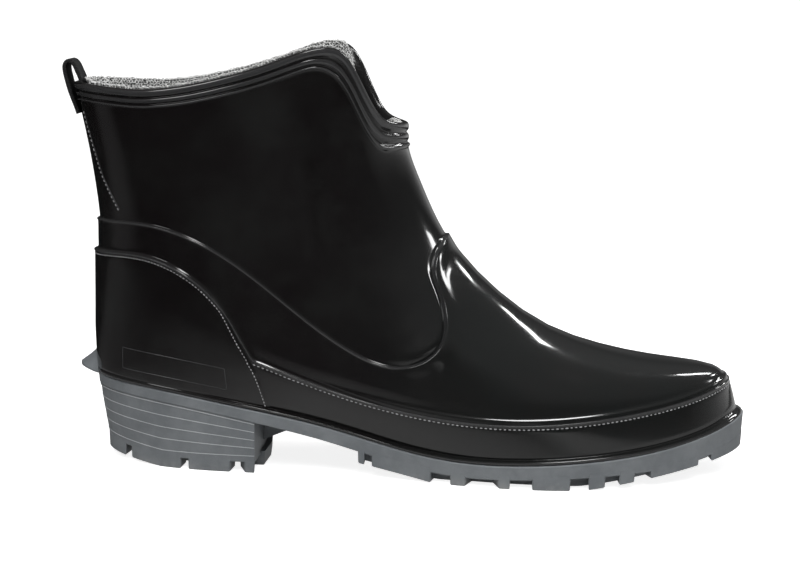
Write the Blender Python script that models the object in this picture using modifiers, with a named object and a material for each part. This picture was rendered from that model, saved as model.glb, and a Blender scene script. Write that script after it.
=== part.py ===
# Rubber ankle boot: a moulded black upper on a grey cleated sole, with an insole and a pull loop.
# It is a right boot: the toe points along +X, the inner side along +Y, and the floor is at Z = 0.

import math
from collections import namedtuple

import bmesh
import bpy
import numpy as np

MM = 0.001

# Driving sizes, in millimetres
LENGTH = 266.0          # bare upper from heel back to toe tip, along the feather line
BALL_WIDTH = 87.6       # bare upper across the ball, at the feather line
HEEL_HEIGHT = 36.0      # feather line above the floor at the back
INSTEP_HEIGHT = 95.0    # ridge of the foot where the vamp seam crosses it
SHAFT_HEIGHT = 156.2    # collar above the floor at the back
WALL = 2.2              # rubber of the shaft
GAP = 0.3               # play between pieces that meet

# Moulded layers: each one stands out from the wall above it
VAMP_STEP = 0.9
RAND_STEP = 0.7
SEAM_BEAD = 0.6         # crest of a raised seam over the layer it edges
SEAM_HALF = 1.1         # half the width of a raised seam
COLLAR_BEAD = 1.0
COLLAR_LIP = 1.4        # from the edge down to the upper collar bead
COLLAR_PITCH = 3.6      # from the upper collar bead down to the lower one
COLLAR_SPREAD = 1.5     # how much further apart the beads lie at the front
COLLAR_EDGE = 0.3       # edge over the bare wall
SPREAD_FROM = 0.70      # where along the collar the beads start to part ...
SPREAD_FULL = 0.88      # ... and where they are fully apart
COUNTER_STEP = 0.5      # counter over the rand
RIM_OUT = 2.4           # ledge over the sole edge
RIM_HIGH = 2.0
RIM_ROUND = 0.3         # share of the ledge that its rounded top takes
RIM_FROM = 0.02         # the ledge grows along the foot from here ...
RIM_FULL = 0.30         # ... to here

# Outsole
STRIP_DRAFT = 0.5
LUG_INSET = 0.9         # outer face of a lug, in from the strip's upper edge
LUG_ROOT = 1.5          # how far a lug runs up into the strip
LUG_DEPTH = 15.0
HEEL_LUG_DEPTH = 10.0
TOE_LUG_DEPTH = 12.0
BACK_LUG_DEPTH = 8.0
GROOVE = 4.0
BREAST_AT = 68.0        # front corners of the heel
BREAST_BULGE = 1.5
HEEL_LUG_HIGH = 4.4     # heel lugs, from the walking surface up to the heel block
HEEL_TAPER = 0.18       # how fast the heel narrows on its way down
HEEL_SHOULDER = 0.2     # heel block in from the strip
HEEL_LUG_SHOULDER = 0.5 # heel lugs in from the strip
RIB_OUT = 0.5
RIB_HALF = 0.55
RIB_COUNT = 5
RIB_LOWEST = 2.8        # lowest rib above the heel block's underside
RIB_TOP = 0.8           # topmost rib below the strip
SPUR_OUT = 6.8
SPUR_HALF_ANGLE = math.radians(9)
SPUR_ROUND = 0.7        # below 1 the tip is blunter
SPUR_HIGH = 8.7         # over the strip: top of its root ...
SPUR_TIP_HIGH = 3.5     # ... top of its tip ...
SPUR_TIP_LOW = 1.8      # ... underside of its tip ...
SPUR_END_LOW = -0.6     # ... and underside of its two ends
SPUR_END = 0.8          # thickness of the ends
SPUR_ROOT = 4.0         # how far it runs into the strip
SPUR_SINK = 1.2         # underside of its root in the strip
SPUR_ROOF = 0.5         # top of its root in the strip
SPUR_PLAY = 0.4         # from its root to the upper's back
SPUR_LEAN = 0.5         # how much more play its top has
GUSSET_LONG = 21.0
GUSSET_DEEP = 13.0
GUSSET_WIDE = 20.0
GUSSET_TIP = 0.4        # its front end, sunk into the strip
INSOLE_THICK = 3.0
TOE_SPRING = 10.5
TREAD_FLAT_FROM = 142.0
TREAD_FLAT_TO = 200.0
TOE_CURVE = 1.15        # above 1 the toe spring starts gently
WAIST_RISE = 0.2        # slope of the tread behind its flat spot
HEEL_BEVEL_TO = 28.0
HEEL_BEVEL = 0.14

LOOP_WIDTH = 12.5
LOOP_THICK = 1.6
LOOP_RECESS = 1.0       # wall thinned behind the strap
RECESS_FULL = 0.28      # angle from the back up to which it is fully thinned ...
RECESS_END = 0.42       # ... and where the wall is whole again
RECESS_FROM = 1.6       # levels below the collar where the thinning starts ...
RECESS_TO = 0.9         # ... and where it is full

COLUMNS = 72

# Sections of the upper from the feather line to the collar, in percent:
# back_x, front_x of LENGTH; back_z of the shaft above the heel; front_z of INSTEP_HEIGHT;
# heel, waist and ball half widths of half BALL_WIDTH. back_r and front_r are end radii in mm.
# sole, wave and swing say how far a section follows the sole line, the collar line and the foot's curve.
Section = namedtuple(
    "Section", "back_x back_z front_x front_z heel waist ball back_r front_r sole wave swing")
SECTIONS = (
    Section(0.0, 0.0, 100.0, 25.1, 67, 68, 100, 20, 19, 1.00, 0.00, 1.00),     # feather line
    Section(-0.2, 10.6, 98.7, 39.1, 69, 79, 100, 21, 19, 0.92, 0.00, 1.00),    # rand
    Section(-0.3, 15.4, 96.8, 46.8, 69, 82, 97, 21, 18.5, 0.75, 0.00, 0.95),   # toe wall
    Section(-0.3, 20.3, 91.2, 51.0, 70, 84, 92, 21, 18.5, 0.55, 0.00, 0.85),   # toe box
    Section(-0.3, 31.7, 81.6, 53.9, 70, 84, 86, 21, 15, 0.25, 0.00, 0.60),     # vamp
    Section(-0.3, 43.1, 70.5, 62.1, 68, 83, 81, 21, 15, 0.08, 0.00, 0.35),     # counter top
    Section(-0.3, 52.8, 61.0, 78.9, 65, 83, 79, 21, 17, 0.00, 0.00, 0.15),     # instep
    Section(-0.9, 64.2, 54.2, 100.0, 63, 85, 78, 21.5, 18, 0.00, 0.04, 0.00),  # ankle
    Section(-1.9, 77.2, 50.2, 121.6, 62, 87, 80, 22, 17, 0.00, 0.25, 0.00),    # shaft
    Section(-3.1, 89.4, 47.9, 137.9, 61, 90, 84, 23, 18, 0.00, 0.65, 0.00),    # cuff
    Section(-4.1, 100.0, 47.4, 150.0, 61, 92, 88, 24, 20, 0.00, 1.00, 0.00),   # collar
)
LEVELS = np.arange(len(SECTIONS))
TOP = float(LEVELS[-1])
HEEL_AT, WAIST_AT, BALL_AT = 0.12, 0.42, 0.70    # where the half widths lie along a section

# Line of the sole's upper edge, seen from the side
SolePoint = namedtuple("SolePoint", "x z")
SOLE_LINE = (
    SolePoint(0, 36.0), SolePoint(33, 32.8), SolePoint(66, 27.4), SolePoint(95, 21.3),
    SolePoint(127, 13.2), SolePoint(150, 9.9), SolePoint(176, 9.9), SolePoint(208, 12.2),
    SolePoint(241, 16.9), SolePoint(257, 21.0), SolePoint(272, 25.9),
)
# Height of the sole's edge strip, thicker towards the toe
StripPoint = namedtuple("StripPoint", "x high")
STRIP_LINE = (
    StripPoint(0, 4.8), StripPoint(60, 4.9), StripPoint(90, 5.6), StripPoint(150, 6.0), StripPoint(205, 6.3),
    StripPoint(255, 9.2), StripPoint(272, 9.8),
)
# Rise of the collar over the straight line from back to front, along the section
CollarPoint = namedtuple("CollarPoint", "along rise")
COLLAR_LINE = (
    CollarPoint(0.0, 0.0), CollarPoint(0.10, 1.0), CollarPoint(0.22, 2.1), CollarPoint(0.44, 9.7),
    CollarPoint(0.62, 19.7), CollarPoint(0.77, 27.8), CollarPoint(0.83, 25.2), CollarPoint(0.88, 13.6),
    CollarPoint(0.925, 3.2), CollarPoint(0.96, 0.5), CollarPoint(1.0, 0.0),
)
# Sideways curve of the foot's middle line, towards the inner side
SwingPoint = namedtuple("SwingPoint", "x y")
SWING_LINE = (SwingPoint(-20, 0), SwingPoint(55, -0.3), SwingPoint(112, -2.2), SwingPoint(186, 0.3),
              SwingPoint(272, 4.5))

# Raised seams, seen from the side; the ends run past the boot's outline
SeamPoint = namedtuple("SeamPoint", "x z")
VAMP_SEAM = (
    SeamPoint(-14, 99), SeamPoint(0, 100), SeamPoint(24, 101), SeamPoint(45, 95), SeamPoint(70, 79),
    SeamPoint(105, 54), SeamPoint(130, 48), SeamPoint(142, 57), SeamPoint(141.5, 74), SeamPoint(138, 87),
    SeamPoint(141, 93), SeamPoint(156, 104),
)
COUNTER_SEAM = (
    SeamPoint(-14, 86), SeamPoint(0, 87), SeamPoint(24, 88), SeamPoint(50.3, 74), SeamPoint(67, 48.3),
)
RAND_SEAM = (
    SeamPoint(67, 48.3), SeamPoint(107, 34.7), SeamPoint(147, 27), SeamPoint(176, 25.6), SeamPoint(207, 27.6),
    SeamPoint(232, 31), SeamPoint(248, 34.2), SeamPoint(262, 38), SeamPoint(275, 42),
)
COUNTER_ANGLE = math.radians(62.6)   # column of the counter's front edge, below the rand's start
COUNTER_LEAN = math.radians(2.6)     # how far that edge leans forward on its way down
COUNTER_EDGE = math.radians(0.6)     # half the width of its step
COUNTER_REACH = 0.3                  # angle over which neighbouring columns follow the lean

# Lugs along the edge: start and end on the edge, and how far the inner end leans forward
EdgeLug = namedtuple("EdgeLug", "start end depth lean")
FOREFOOT_LUGS = (
    EdgeLug(110.5, 113.0, 12, 0), EdgeLug(116, 140, LUG_DEPTH, 3), EdgeLug(148, 154, LUG_DEPTH, 5),
    EdgeLug(167.5, 172, LUG_DEPTH, -4), EdgeLug(181, 196, LUG_DEPTH, 0), EdgeLug(203.5, 210, LUG_DEPTH, 1),
    EdgeLug(216, 222, LUG_DEPTH, -1), EdgeLug(229, 249, LUG_DEPTH, -4),
)
TOE_LUG_FROM = 252.5
HEEL_LUGS = (EdgeLug(15.4, 37, HEEL_LUG_DEPTH, 1), EdgeLug(40.4, 57.8, HEEL_LUG_DEPTH, 1),
             EdgeLug(64, 68, HEEL_LUG_DEPTH, -3))
BACK_LUG_TO = 10.4
# Lugs across the middle: a swept bar each
MiddleLug = namedtuple("MiddleLug", "x length sweep")
MIDDLE_LUGS = (
    MiddleLug(124, 11, 4), MiddleLug(141, 11, 5), MiddleLug(158, 11, 5), MiddleLug(175, 11, 5),
    MiddleLug(192, 11, 5), MiddleLug(209, 11, 5), MiddleLug(226, 10, 5),
)
HEEL_MIDDLE_LUGS = (MiddleLug(24, 9, 0), MiddleLug(40, 9, 0), MiddleLug(52, 7, 0), MiddleLug(66.5, 8, 1.2))

# Strap of the pull loop, from its outer end over the collar to its inner end
StrapPoint = namedtuple("StrapPoint", "x z")
STRAP = (
    StrapPoint(-9.0, 143.2), StrapPoint(-10.1, 146.3), StrapPoint(-11.5, 149.8), StrapPoint(-12.8, 153.4),
    StrapPoint(-13.9, 157.3), StrapPoint(-14.7, 161), StrapPoint(-14.4, 163.7), StrapPoint(-12.9, 164.8),
    StrapPoint(-11.3, 163.9), StrapPoint(-9.7, 161), StrapPoint(-8.3, 157.8), StrapPoint(-7.3, 154),
    StrapPoint(-6.4, 150), StrapPoint(-5.6, 146.5),
)


def spline_weights(knots, at):
    """Weights of a natural cubic spline, a row per place and a column per knot."""
    knots = np.asarray(knots, float)
    at = np.atleast_1d(np.asarray(at, float))
    count = len(knots)
    gap = np.diff(knots)
    bend = np.eye(count)
    load = np.zeros((count, count))
    for i in range(1, count - 1):
        bend[i, i - 1:i + 2] = gap[i - 1], 2 * (gap[i - 1] + gap[i]), gap[i]
        load[i, i - 1:i + 2] = 6 / gap[i - 1], -6 / gap[i - 1] - 6 / gap[i], 6 / gap[i]
    curvature = np.linalg.solve(bend, load)
    span = np.clip(np.searchsorted(knots, at, side="right") - 1, 0, count - 2)
    width = gap[span]
    after = (at - knots[span]) / width
    before = 1 - after
    unit = np.eye(count)
    straight = before[:, None] * unit[span] + after[:, None] * unit[span + 1]
    curve_before = ((before ** 3 - before) * width ** 2 / 6)[:, None] * curvature[span]
    curve_after = ((after ** 3 - after) * width ** 2 / 6)[:, None] * curvature[span + 1]
    return straight + curve_before + curve_after


def along_table(table, at):
    """Smooth reading of a two-column table at the given places."""
    knots, values = np.array(table, float).T
    return spline_weights(knots, np.clip(at, knots[0], knots[-1])) @ values


def smooth_path(table, count):
    """A smooth curve through a table's points, as an array of points."""
    points = np.array(table, float)
    run = np.concatenate([[0], np.cumsum(np.linalg.norm(np.diff(points, axis=0), axis=1))])
    return spline_weights(run, np.linspace(0, run[-1], count)) @ points


def surface(level, phi):
    """Bare outer surface of the upper. phi runs from the back over the outer side to the toe and on."""
    phi = np.asarray(phi, float)
    level = np.broadcast_to(np.asarray(level, float), phi.shape)
    phi = phi + counter_lean(level, phi)
    section = Section(*(spline_weights(LEVELS, level) @ np.array(SECTIONS, float)).T)
    along = (1 - np.cos(phi)) / 2
    back_x = section.back_x * LENGTH / 100
    front_x = section.front_x * LENGTH / 100
    x = back_x + (front_x - back_x) * along
    half_length = (front_x - back_x) / 2
    half_width = BALL_WIDTH / 200
    station = np.array([HEEL_AT, WAIST_AT, BALL_AT])
    stretch = half_width / (2 * np.sqrt(station * (1 - station)))
    fullness = np.stack([
        np.sqrt(section.back_r * half_length), section.heel * stretch[0], section.waist * stretch[1],
        section.ball * stretch[2], np.sqrt(section.front_r * half_length)], axis=1)
    weights = spline_weights([0, *station, 1], along)
    y = -np.sin(phi) * np.sum(weights * fullness, axis=1) + section.swing * along_table(SWING_LINE, x)
    back_z = HEEL_HEIGHT + section.back_z * (SHAFT_HEIGHT - HEEL_HEIGHT) / 100
    front_z = section.front_z * INSTEP_HEIGHT / 100
    toe_z = SECTIONS[0].front_z * INSTEP_HEIGHT / 100
    sole_sag = along_table(SOLE_LINE, x) - (HEEL_HEIGHT + (toe_z - HEEL_HEIGHT) * x / LENGTH)
    z = back_z + (front_z - back_z) * along + section.sole * sole_sag
    z = z + section.wave * along_table(COLLAR_LINE, along)
    return np.stack([x, y, z], axis=1)


def folded(phi):
    """Angle from the heel's back, the same on both sides."""
    return np.abs((phi + math.pi) % (2 * math.pi) - math.pi)


def counter_lean(level, phi):
    """Turn of the columns near the counter's front edge, so that one of them runs along it."""
    near = np.exp(-((folded(phi) - COUNTER_ANGLE) / COUNTER_REACH) ** 2)
    return np.sign(np.sin(phi)) * COUNTER_LEAN * (0.5 - np.clip(level, 0, 1)) * near


def slopes(level, phi):
    """Steps of the surface along a section and up the boot."""
    turn = 0.01
    rise = 0.02
    level = np.broadcast_to(np.asarray(level, float), np.shape(phi))
    low = np.clip(level - rise, 0, TOP)
    high = np.clip(level + rise, 0, TOP)
    around = (surface(level, phi + turn) - surface(level, phi - turn)) / (2 * turn)
    upward = (surface(high, phi) - surface(low, phi)) / (high - low)[:, None]
    return around, upward


def offset_surface(level, phi, out):
    """The surface moved along its normal."""
    around, upward = slopes(level, phi)
    normal = np.cross(around, upward)
    normal /= np.linalg.norm(normal, axis=1)[:, None]
    return surface(level, phi) + normal * np.broadcast_to(out, np.shape(phi))[:, None]


def plan_offset(level, phi, out):
    """The surface moved level with the floor, away from the foot's middle."""
    around, _ = slopes(level, phi)
    normal = np.stack([around[:, 1], -around[:, 0], np.zeros(len(phi))], axis=1)
    normal /= np.linalg.norm(normal, axis=1)[:, None]
    return surface(level, phi) + normal * np.broadcast_to(out, np.shape(phi))[:, None]


def level_rise(level, phi, distance):
    """Change of level that climbs the given distance, square to the section."""
    around, upward = slopes(level, phi)
    return distance * np.linalg.norm(around, axis=1) / np.linalg.norm(np.cross(around, upward), axis=1)


def smoothstep(low, high, at):
    part = np.clip((at - low) / (high - low), 0, 1)
    return part * part * (3 - 2 * part)


def rim_out(phi):
    """Ledge over the sole edge: full along the foot, gone at the heel's back."""
    along = (1 - np.cos(phi)) / 2
    return RIM_OUT * smoothstep(RIM_FROM, RIM_FULL, along)


def seam_level(path, phi):
    """Level at which each column crosses a seam drawn on the side view."""
    steps = np.linspace(0, TOP, 301)
    start = path[:-1]
    seam_run = path[1:] - start
    levels = []
    for angle in phi:
        column = surface(steps, np.full(len(steps), angle))[:, [0, 2]]
        rise = column[1:] - column[:-1]
        apart = start[None, :, :] - column[:-1, None, :]
        cross = rise[:, None, 0] * seam_run[None, :, 1] - rise[:, None, 1] * seam_run[None, :, 0]
        cross = np.where(np.abs(cross) < 1e-9, 1e-9, cross)
        on_column = (apart[..., 0] * seam_run[None, :, 1] - apart[..., 1] * seam_run[None, :, 0]) / cross
        on_seam = (apart[..., 0] * rise[:, None, 1] - apart[..., 1] * rise[:, None, 0]) / cross
        hit = (on_column >= 0) & (on_column < 1) & (on_seam >= 0) & (on_seam < 1)
        row, part = np.argwhere(hit)[0]
        levels.append(steps[row] + on_column[row, part] * (steps[1] - steps[0]))
    return np.array(levels)


def seam_levels(phi):
    """Levels of the lower seam, counter and rand together, and of the vamp seam."""
    angle = folded(phi)
    lower_path = np.concatenate([smooth_path(COUNTER_SEAM, 60), smooth_path(RAND_SEAM, 90)[1:]])
    vamp_path = smooth_path(VAMP_SEAM, 150)
    return seam_level(lower_path, angle), seam_level(vamp_path, angle)


def seam_rows(level, phi, below, above):
    """Three rows across a raised seam: its foot, its crest and the wall above it."""
    half = level_rise(level, phi, SEAM_HALF)
    return [(level - half, below), (level, below + SEAM_BEAD), (level + half, above)]


def band_rows(low, high, count, out):
    """Evenly spread rows between two levels."""
    return [(low + (high - low) * k / (count + 1), out) for k in range(1, count + 1)]


def collar_levels(phi):
    """Levels of the collar's edge and of its upper and lower beads."""
    edge = np.full(len(phi), TOP)
    along = (1 - np.cos(phi)) / 2
    pitch = COLLAR_PITCH + COLLAR_SPREAD * smoothstep(SPREAD_FROM, SPREAD_FULL, along)
    lip = edge - level_rise(edge, phi, COLLAR_LIP)
    return edge, lip, lip - level_rise(edge, phi, 1.0) * pitch


def inner_out(level, phi):
    """Inner face of the wall, thinned behind the pull loop."""
    beside = 1 - smoothstep(RECESS_FULL, RECESS_END, folded(phi))
    height = smoothstep(TOP - RECESS_FROM, TOP - RECESS_TO, level)
    return LOOP_RECESS * beside * height - WALL


def upper_rings(phi):
    """Rings round the wall's section: up the outside, over the collar and down the inside."""
    lower, vamp = seam_levels(phi)
    edge, lip, bead = collar_levels(phi)
    skin = VAMP_STEP + RAND_STEP
    rand = skin + COUNTER_STEP * (folded(phi) < COUNTER_ANGLE)
    rim_top = level_rise(np.zeros(len(phi)), phi, RIM_HIGH)
    ledge = skin + rim_out(phi)
    rounded = RIM_ROUND * rim_out(phi)
    rings = [plan_offset(0, phi, ledge), plan_offset(rim_top * (1 - RIM_ROUND), phi, ledge),
             plan_offset(rim_top, phi, ledge - rounded), plan_offset(rim_top, phi, skin)]
    rows = band_rows(rim_top, lower, 2, rand)
    rows += seam_rows(lower, phi, rand, VAMP_STEP)
    rows += band_rows(lower, vamp, 8, VAMP_STEP)
    rows += seam_rows(vamp, phi, VAMP_STEP, 0.0)
    rows += band_rows(vamp, bead, 5, 0.0)
    half = level_rise(edge, phi, SEAM_HALF)
    rows += [(bead - half, 0.0), (bead, COLLAR_BEAD), (bead + half, 0.0)]
    rows += [(lip - half, 0.0), (lip, COLLAR_BEAD), (edge, COLLAR_EDGE)]
    inside = [edge] + [level for level, _ in band_rows(edge, np.zeros(len(phi)), 10, 0.0)]
    rows += [(level, inner_out(level, phi)) for level in inside]
    rings += [offset_surface(level, phi, out) for level, out in rows]
    rings.append(plan_offset(0, phi, -WALL))
    return rings


def sole_edge(phi, inset):
    """Outline of the sole at its upper edge, moved in by the inset."""
    return plan_offset(0, phi, VAMP_STEP + RAND_STEP + rim_out(phi) - inset)


def edge_y(x, side, inset):
    """Where the sole's outline lies at a place along the foot. side is -1 outside, 1 inside."""
    phi = np.linspace(0, math.pi, 181)
    outline = sole_edge(phi if side < 0 else 2 * math.pi - phi, inset)
    return np.interp(x, outline[:, 0], outline[:, 1])


def sole_top(x):
    return along_table(SOLE_LINE, x) - GAP


def strip_foot(x):
    """Lower edge of the strip."""
    return sole_top(x) - along_table(STRIP_LINE, x)


def heel_bevel(x):
    return HEEL_BEVEL * np.clip(HEEL_BEVEL_TO - x, 0, None)


def heel_foot(x):
    """Underside of the heel block, as far above the walking surface everywhere."""
    return HEEL_LUG_HIGH + heel_bevel(x)


def tread(x):
    """Height of the walking surface: flat spots under heel and ball, a bevel behind, the toe spring ahead."""
    waist = WAIST_RISE * np.clip(TREAD_FLAT_FROM - x, 0, None)
    toe = TOE_SPRING * (np.clip(x - TREAD_FLAT_TO, 0, None) / (LENGTH + RIM_OUT - TREAD_FLAT_TO)) ** TOE_CURVE
    return np.where(x < BREAST_AT + BREAST_BULGE + GROOVE, heel_bevel(x), waist + toe)


def ladder_faces(bm, ring, flip):
    """Close a ring whose two sides mirror each other with rungs across it."""
    count = len(ring)
    for i in range(count // 2):
        corner = [ring[i], ring[i + 1], ring[(count - i - 1) % count], ring[-i % count]]
        face = list(dict.fromkeys(corner))
        bm.faces.new(face[::-1] if flip else face)


def loft(rings, ends):
    """A closed mesh through rings of points in millimetres. ends is wrap, ladder or flat."""
    bm = bmesh.new()
    loops = [[bm.verts.new(tuple(float(c) * MM for c in point)) for point in ring] for ring in rings]
    pairs = list(zip(loops, loops[1:]))
    if ends == "wrap":
        pairs.append((loops[-1], loops[0]))
    for low, high in pairs:
        for i in range(len(low)):
            j = (i + 1) % len(low)
            bm.faces.new((low[i], low[j], high[j], high[i]))
    if ends == "ladder":
        ladder_faces(bm, loops[0], True)
        ladder_faces(bm, loops[-1], False)
    if ends == "flat":
        bm.faces.new(loops[0][::-1])
        bm.faces.new(loops[-1])
    bmesh.ops.recalc_face_normals(bm, faces=bm.faces)
    return bm


def finish_mesh(bm, name, material, collection, root):
    """Turn a working mesh into a named object that hangs on the root."""
    mesh = bpy.data.meshes.new(name)
    bm.to_mesh(mesh)
    bm.free()
    thing = bpy.data.objects.new(name, mesh)
    thing.parent = root
    collection.objects.link(thing)
    if material:
        mesh.materials.append(material)
    return thing


def shade(thing, degrees):
    thing.data.shade_smooth()
    thing.data.set_sharp_from_angle(angle=math.radians(degrees))


def make_material(name, colour, roughness):
    material = bpy.data.materials.new(name)
    material.use_nodes = True
    shader = material.node_tree.nodes["Principled BSDF"]
    shader.inputs["Base Color"].default_value = (*colour, 1)
    shader.inputs["Roughness"].default_value = roughness
    shader.inputs["Metallic"].default_value = 0.0
    return material


def ring_angles():
    """Columns round the boot, with a close pair on each side at the counter's front edge."""
    half = np.linspace(0, math.pi, COLUMNS // 2 + 1)
    half = half[np.abs(half - COUNTER_ANGLE) > 2.5 * COUNTER_EDGE]
    half = np.sort(np.append(half, [COUNTER_ANGLE - COUNTER_EDGE, COUNTER_ANGLE + COUNTER_EDGE]))
    return np.concatenate([half, 2 * math.pi - half[-2:0:-1]])


def make_upper(collection, root):
    rubber = make_material("black_gloss_rubber", (0.012, 0.012, 0.012), 0.18)
    upper = finish_mesh(loft(upper_rings(ring_angles()), "wrap"), "upper", rubber, collection, root)
    shade(upper, 50)
    return upper


def lowered(points, drop):
    moved = points.copy()
    moved[:, 2] -= drop
    return moved


def strip_mesh():
    """The sole's edge strip and plate, from heel to toe."""
    phi = ring_angles()
    top = lowered(sole_edge(phi, 0), GAP)
    bottom = sole_edge(phi, STRIP_DRAFT)
    bottom[:, 2] = strip_foot(bottom[:, 0])
    return loft([bottom, top], "ladder")


def heel_ring(height_of, out):
    """Ring round the heel block from the middle of its back: sides and bulging breast."""
    side = np.linspace(0, math.pi / 2, 91)
    limit = np.interp(BREAST_AT, sole_edge(side, 0)[:, 0], side)
    phi = np.linspace(-limit, limit, 27)
    rough = sole_edge(phi, STRIP_DRAFT)
    height = height_of(rough[:, 0])
    drop = np.clip(strip_foot(rough[:, 0]) - height, 0, None)
    ring = sole_edge(phi, STRIP_DRAFT + HEEL_SHOULDER + HEEL_TAPER * drop - out)
    ring[:, 2] = height
    across = np.linspace(0, 1, 9)[1:-1]
    breast_y = ring[-1, 1] + (ring[0, 1] - ring[-1, 1]) * across
    bulge = 4 * across * (1 - across)
    corner = ring[-1, 0]
    breast_x = corner + BREAST_BULGE * bulge
    breast_z = height_of(breast_x)
    whole = np.concatenate([ring, np.stack([breast_x, breast_y, breast_z], axis=1)])
    return np.roll(whole, -(len(ring) // 2), axis=0)


def heel_mesh():
    """Heel block with its raised ribs, fanned between the strip and the lugs."""
    def rib_height(k):
        part = k / (RIB_COUNT - 1)
        return lambda x: (heel_foot(x) + RIB_LOWEST) * (1 - part) + (strip_foot(x) - RIB_TOP) * part
    rings = [heel_ring(heel_foot, 0.0)]
    for k in range(RIB_COUNT):
        for lift, out in ((-RIB_HALF, 0.0), (0.0, RIB_OUT), (RIB_HALF, 0.0)):
            rings.append(heel_ring(lambda x, lift=lift, k=k: rib_height(k)(x) + lift, out))
    rings.append(heel_ring(lambda x: (strip_foot(x) + sole_top(x)) / 2, 0.0))
    return loft(rings, "ladder")


def lug_mesh(outline, root_height):
    """A lug: a plan outline run from the walking surface up into the sole."""
    plan = np.array(outline, float)
    foot = np.column_stack([plan, tread(plan[:, 0])])
    head = np.column_stack([plan, root_height(plan[:, 0])])
    return loft([foot, head], "flat")


def forefoot_root(x):
    return strip_foot(x) + LUG_ROOT


def heel_root(x):
    return heel_foot(x) + LUG_ROOT


def edge_lug_outline(lug, side, inset):
    """Plan of a lug on the sole's edge."""
    outer_x = np.linspace(lug.start, lug.end, 4)
    inner_x = np.array([lug.end, lug.start]) + lug.lean
    outer = [(x, edge_y(x, side, inset(x))) for x in outer_x]
    inner = [(x, edge_y(x, side, inset(x) + lug.depth)) for x in inner_x]
    return outer + inner


def end_lug_outline(centre, limit, inset, depth):
    """Plan of the curved lug that wraps the toe or the heel's back."""
    phi = centre + np.linspace(-limit, limit, 13)
    moved = inset(sole_edge(phi, 0)[:, 0])
    outer = sole_edge(phi, moved)[:, :2]
    inner = sole_edge(phi[2:-2], moved[2:-2] + depth)[::-1, :2]
    return np.concatenate([outer, inner])


def middle_lug_outline(lug, inset, lug_depth):
    """Plan of a swept bar across the middle of the tread."""
    low = edge_y(lug.x, -1, inset(lug.x) + lug_depth + GROOVE)
    high = edge_y(lug.x, 1, inset(lug.x) + lug_depth + GROOVE)
    middle = (low + high) / 2
    back = lug.x - lug.length / 2
    front = lug.x + lug.length / 2
    return [(back, low), (back + lug.sweep, middle), (back, high), (front, high),
            (front + lug.sweep, middle), (front, low)]


def heel_inset(x):
    """How far the heel's foot lies in from the sole's outline."""
    return STRIP_DRAFT + HEEL_LUG_SHOULDER + HEEL_TAPER * (strip_foot(x) - heel_foot(x))


def forefoot_inset(x):
    return np.full(np.shape(x), LUG_INSET)


def lug_meshes():
    meshes = []
    for side in (-1, 1):
        for lug in FOREFOOT_LUGS:
            meshes.append(lug_mesh(edge_lug_outline(lug, side, forefoot_inset), forefoot_root))
        for lug in HEEL_LUGS:
            meshes.append(lug_mesh(edge_lug_outline(lug, side, heel_inset), heel_root))
    for lug in MIDDLE_LUGS:
        meshes.append(lug_mesh(middle_lug_outline(lug, forefoot_inset, LUG_DEPTH), forefoot_root))
    for lug in HEEL_MIDDLE_LUGS:
        meshes.append(lug_mesh(middle_lug_outline(lug, heel_inset, HEEL_LUG_DEPTH), heel_root))
    toe_limit = math.acos(2 * TOE_LUG_FROM / LENGTH - 1)
    back_limit = math.acos(1 - 2 * BACK_LUG_TO / LENGTH)
    meshes.append(lug_mesh(end_lug_outline(math.pi, toe_limit, forefoot_inset, TOE_LUG_DEPTH), forefoot_root))
    meshes.append(lug_mesh(end_lug_outline(0.0, back_limit, heel_inset, BACK_LUG_DEPTH), heel_root))
    return meshes


def spur_mesh():
    """Kick-off spur: a tongue behind the heel, rooted in the strip; one section per angle."""
    phi = np.linspace(-SPUR_HALF_ANGLE, SPUR_HALF_ANGLE, 15)
    swell = np.clip(np.cos(phi / SPUR_HALF_ANGLE * math.pi / 2), 0, 1) ** SPUR_ROUND
    seat = HEEL_HEIGHT - GAP
    flat = np.ones(len(phi))
    end_high = SPUR_END_LOW + SPUR_END
    corners = (
        (SPUR_ROOT * flat, -SPUR_SINK * flat),
        (SPUR_PLAY * flat, -SPUR_SINK * flat),
        (-SPUR_PLAY - SPUR_END - SPUR_OUT * swell, SPUR_END_LOW + (SPUR_TIP_LOW - SPUR_END_LOW) * swell),
        (-SPUR_PLAY - SPUR_END - SPUR_OUT * swell, end_high + (SPUR_TIP_HIGH - end_high) * swell),
        (-SPUR_PLAY - SPUR_LEAN * swell, end_high + (SPUR_HIGH - end_high) * swell),
        (-SPUR_PLAY * flat, -SPUR_ROOF * flat),
        (SPUR_ROOT * flat, -SPUR_ROOF * flat),
    )
    runs = []
    for inset, rise in corners:
        run = sole_edge(phi, inset)
        run[:, 2] = seat + rise
        runs.append(run)
    return loft(np.stack(runs, axis=1), "flat")


def gusset_mesh():
    """Web between the heel's breast and the waist."""
    low = BREAST_AT
    high = BREAST_AT + GUSSET_LONG
    strip_low = float(strip_foot(low)[0])
    strip_high = float(strip_foot(high)[0])
    profile = [(low, strip_low - GUSSET_DEEP), (high, strip_high + GUSSET_TIP), (high, strip_high + LUG_ROOT),
               (low, strip_low + LUG_ROOT)]
    rings = [[(x, y, z) for x, z in profile] for y in (-GUSSET_WIDE / 2, GUSSET_WIDE / 2)]
    return loft(rings, "flat")


def add_union(thing, others):
    for other in others:
        join = thing.modifiers.new("join_" + other.name, "BOOLEAN")
        join.operation = "UNION"
        join.solver = "EXACT"
        join.object = other


def joined(meshes):
    """Several working meshes as one, their bodies kept apart."""
    whole = bmesh.new()
    for bm in meshes:
        mesh = bpy.data.meshes.new("lug")
        bm.to_mesh(mesh)
        bm.free()
        whole.from_mesh(mesh)
        bpy.data.meshes.remove(mesh)
    return whole


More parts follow.
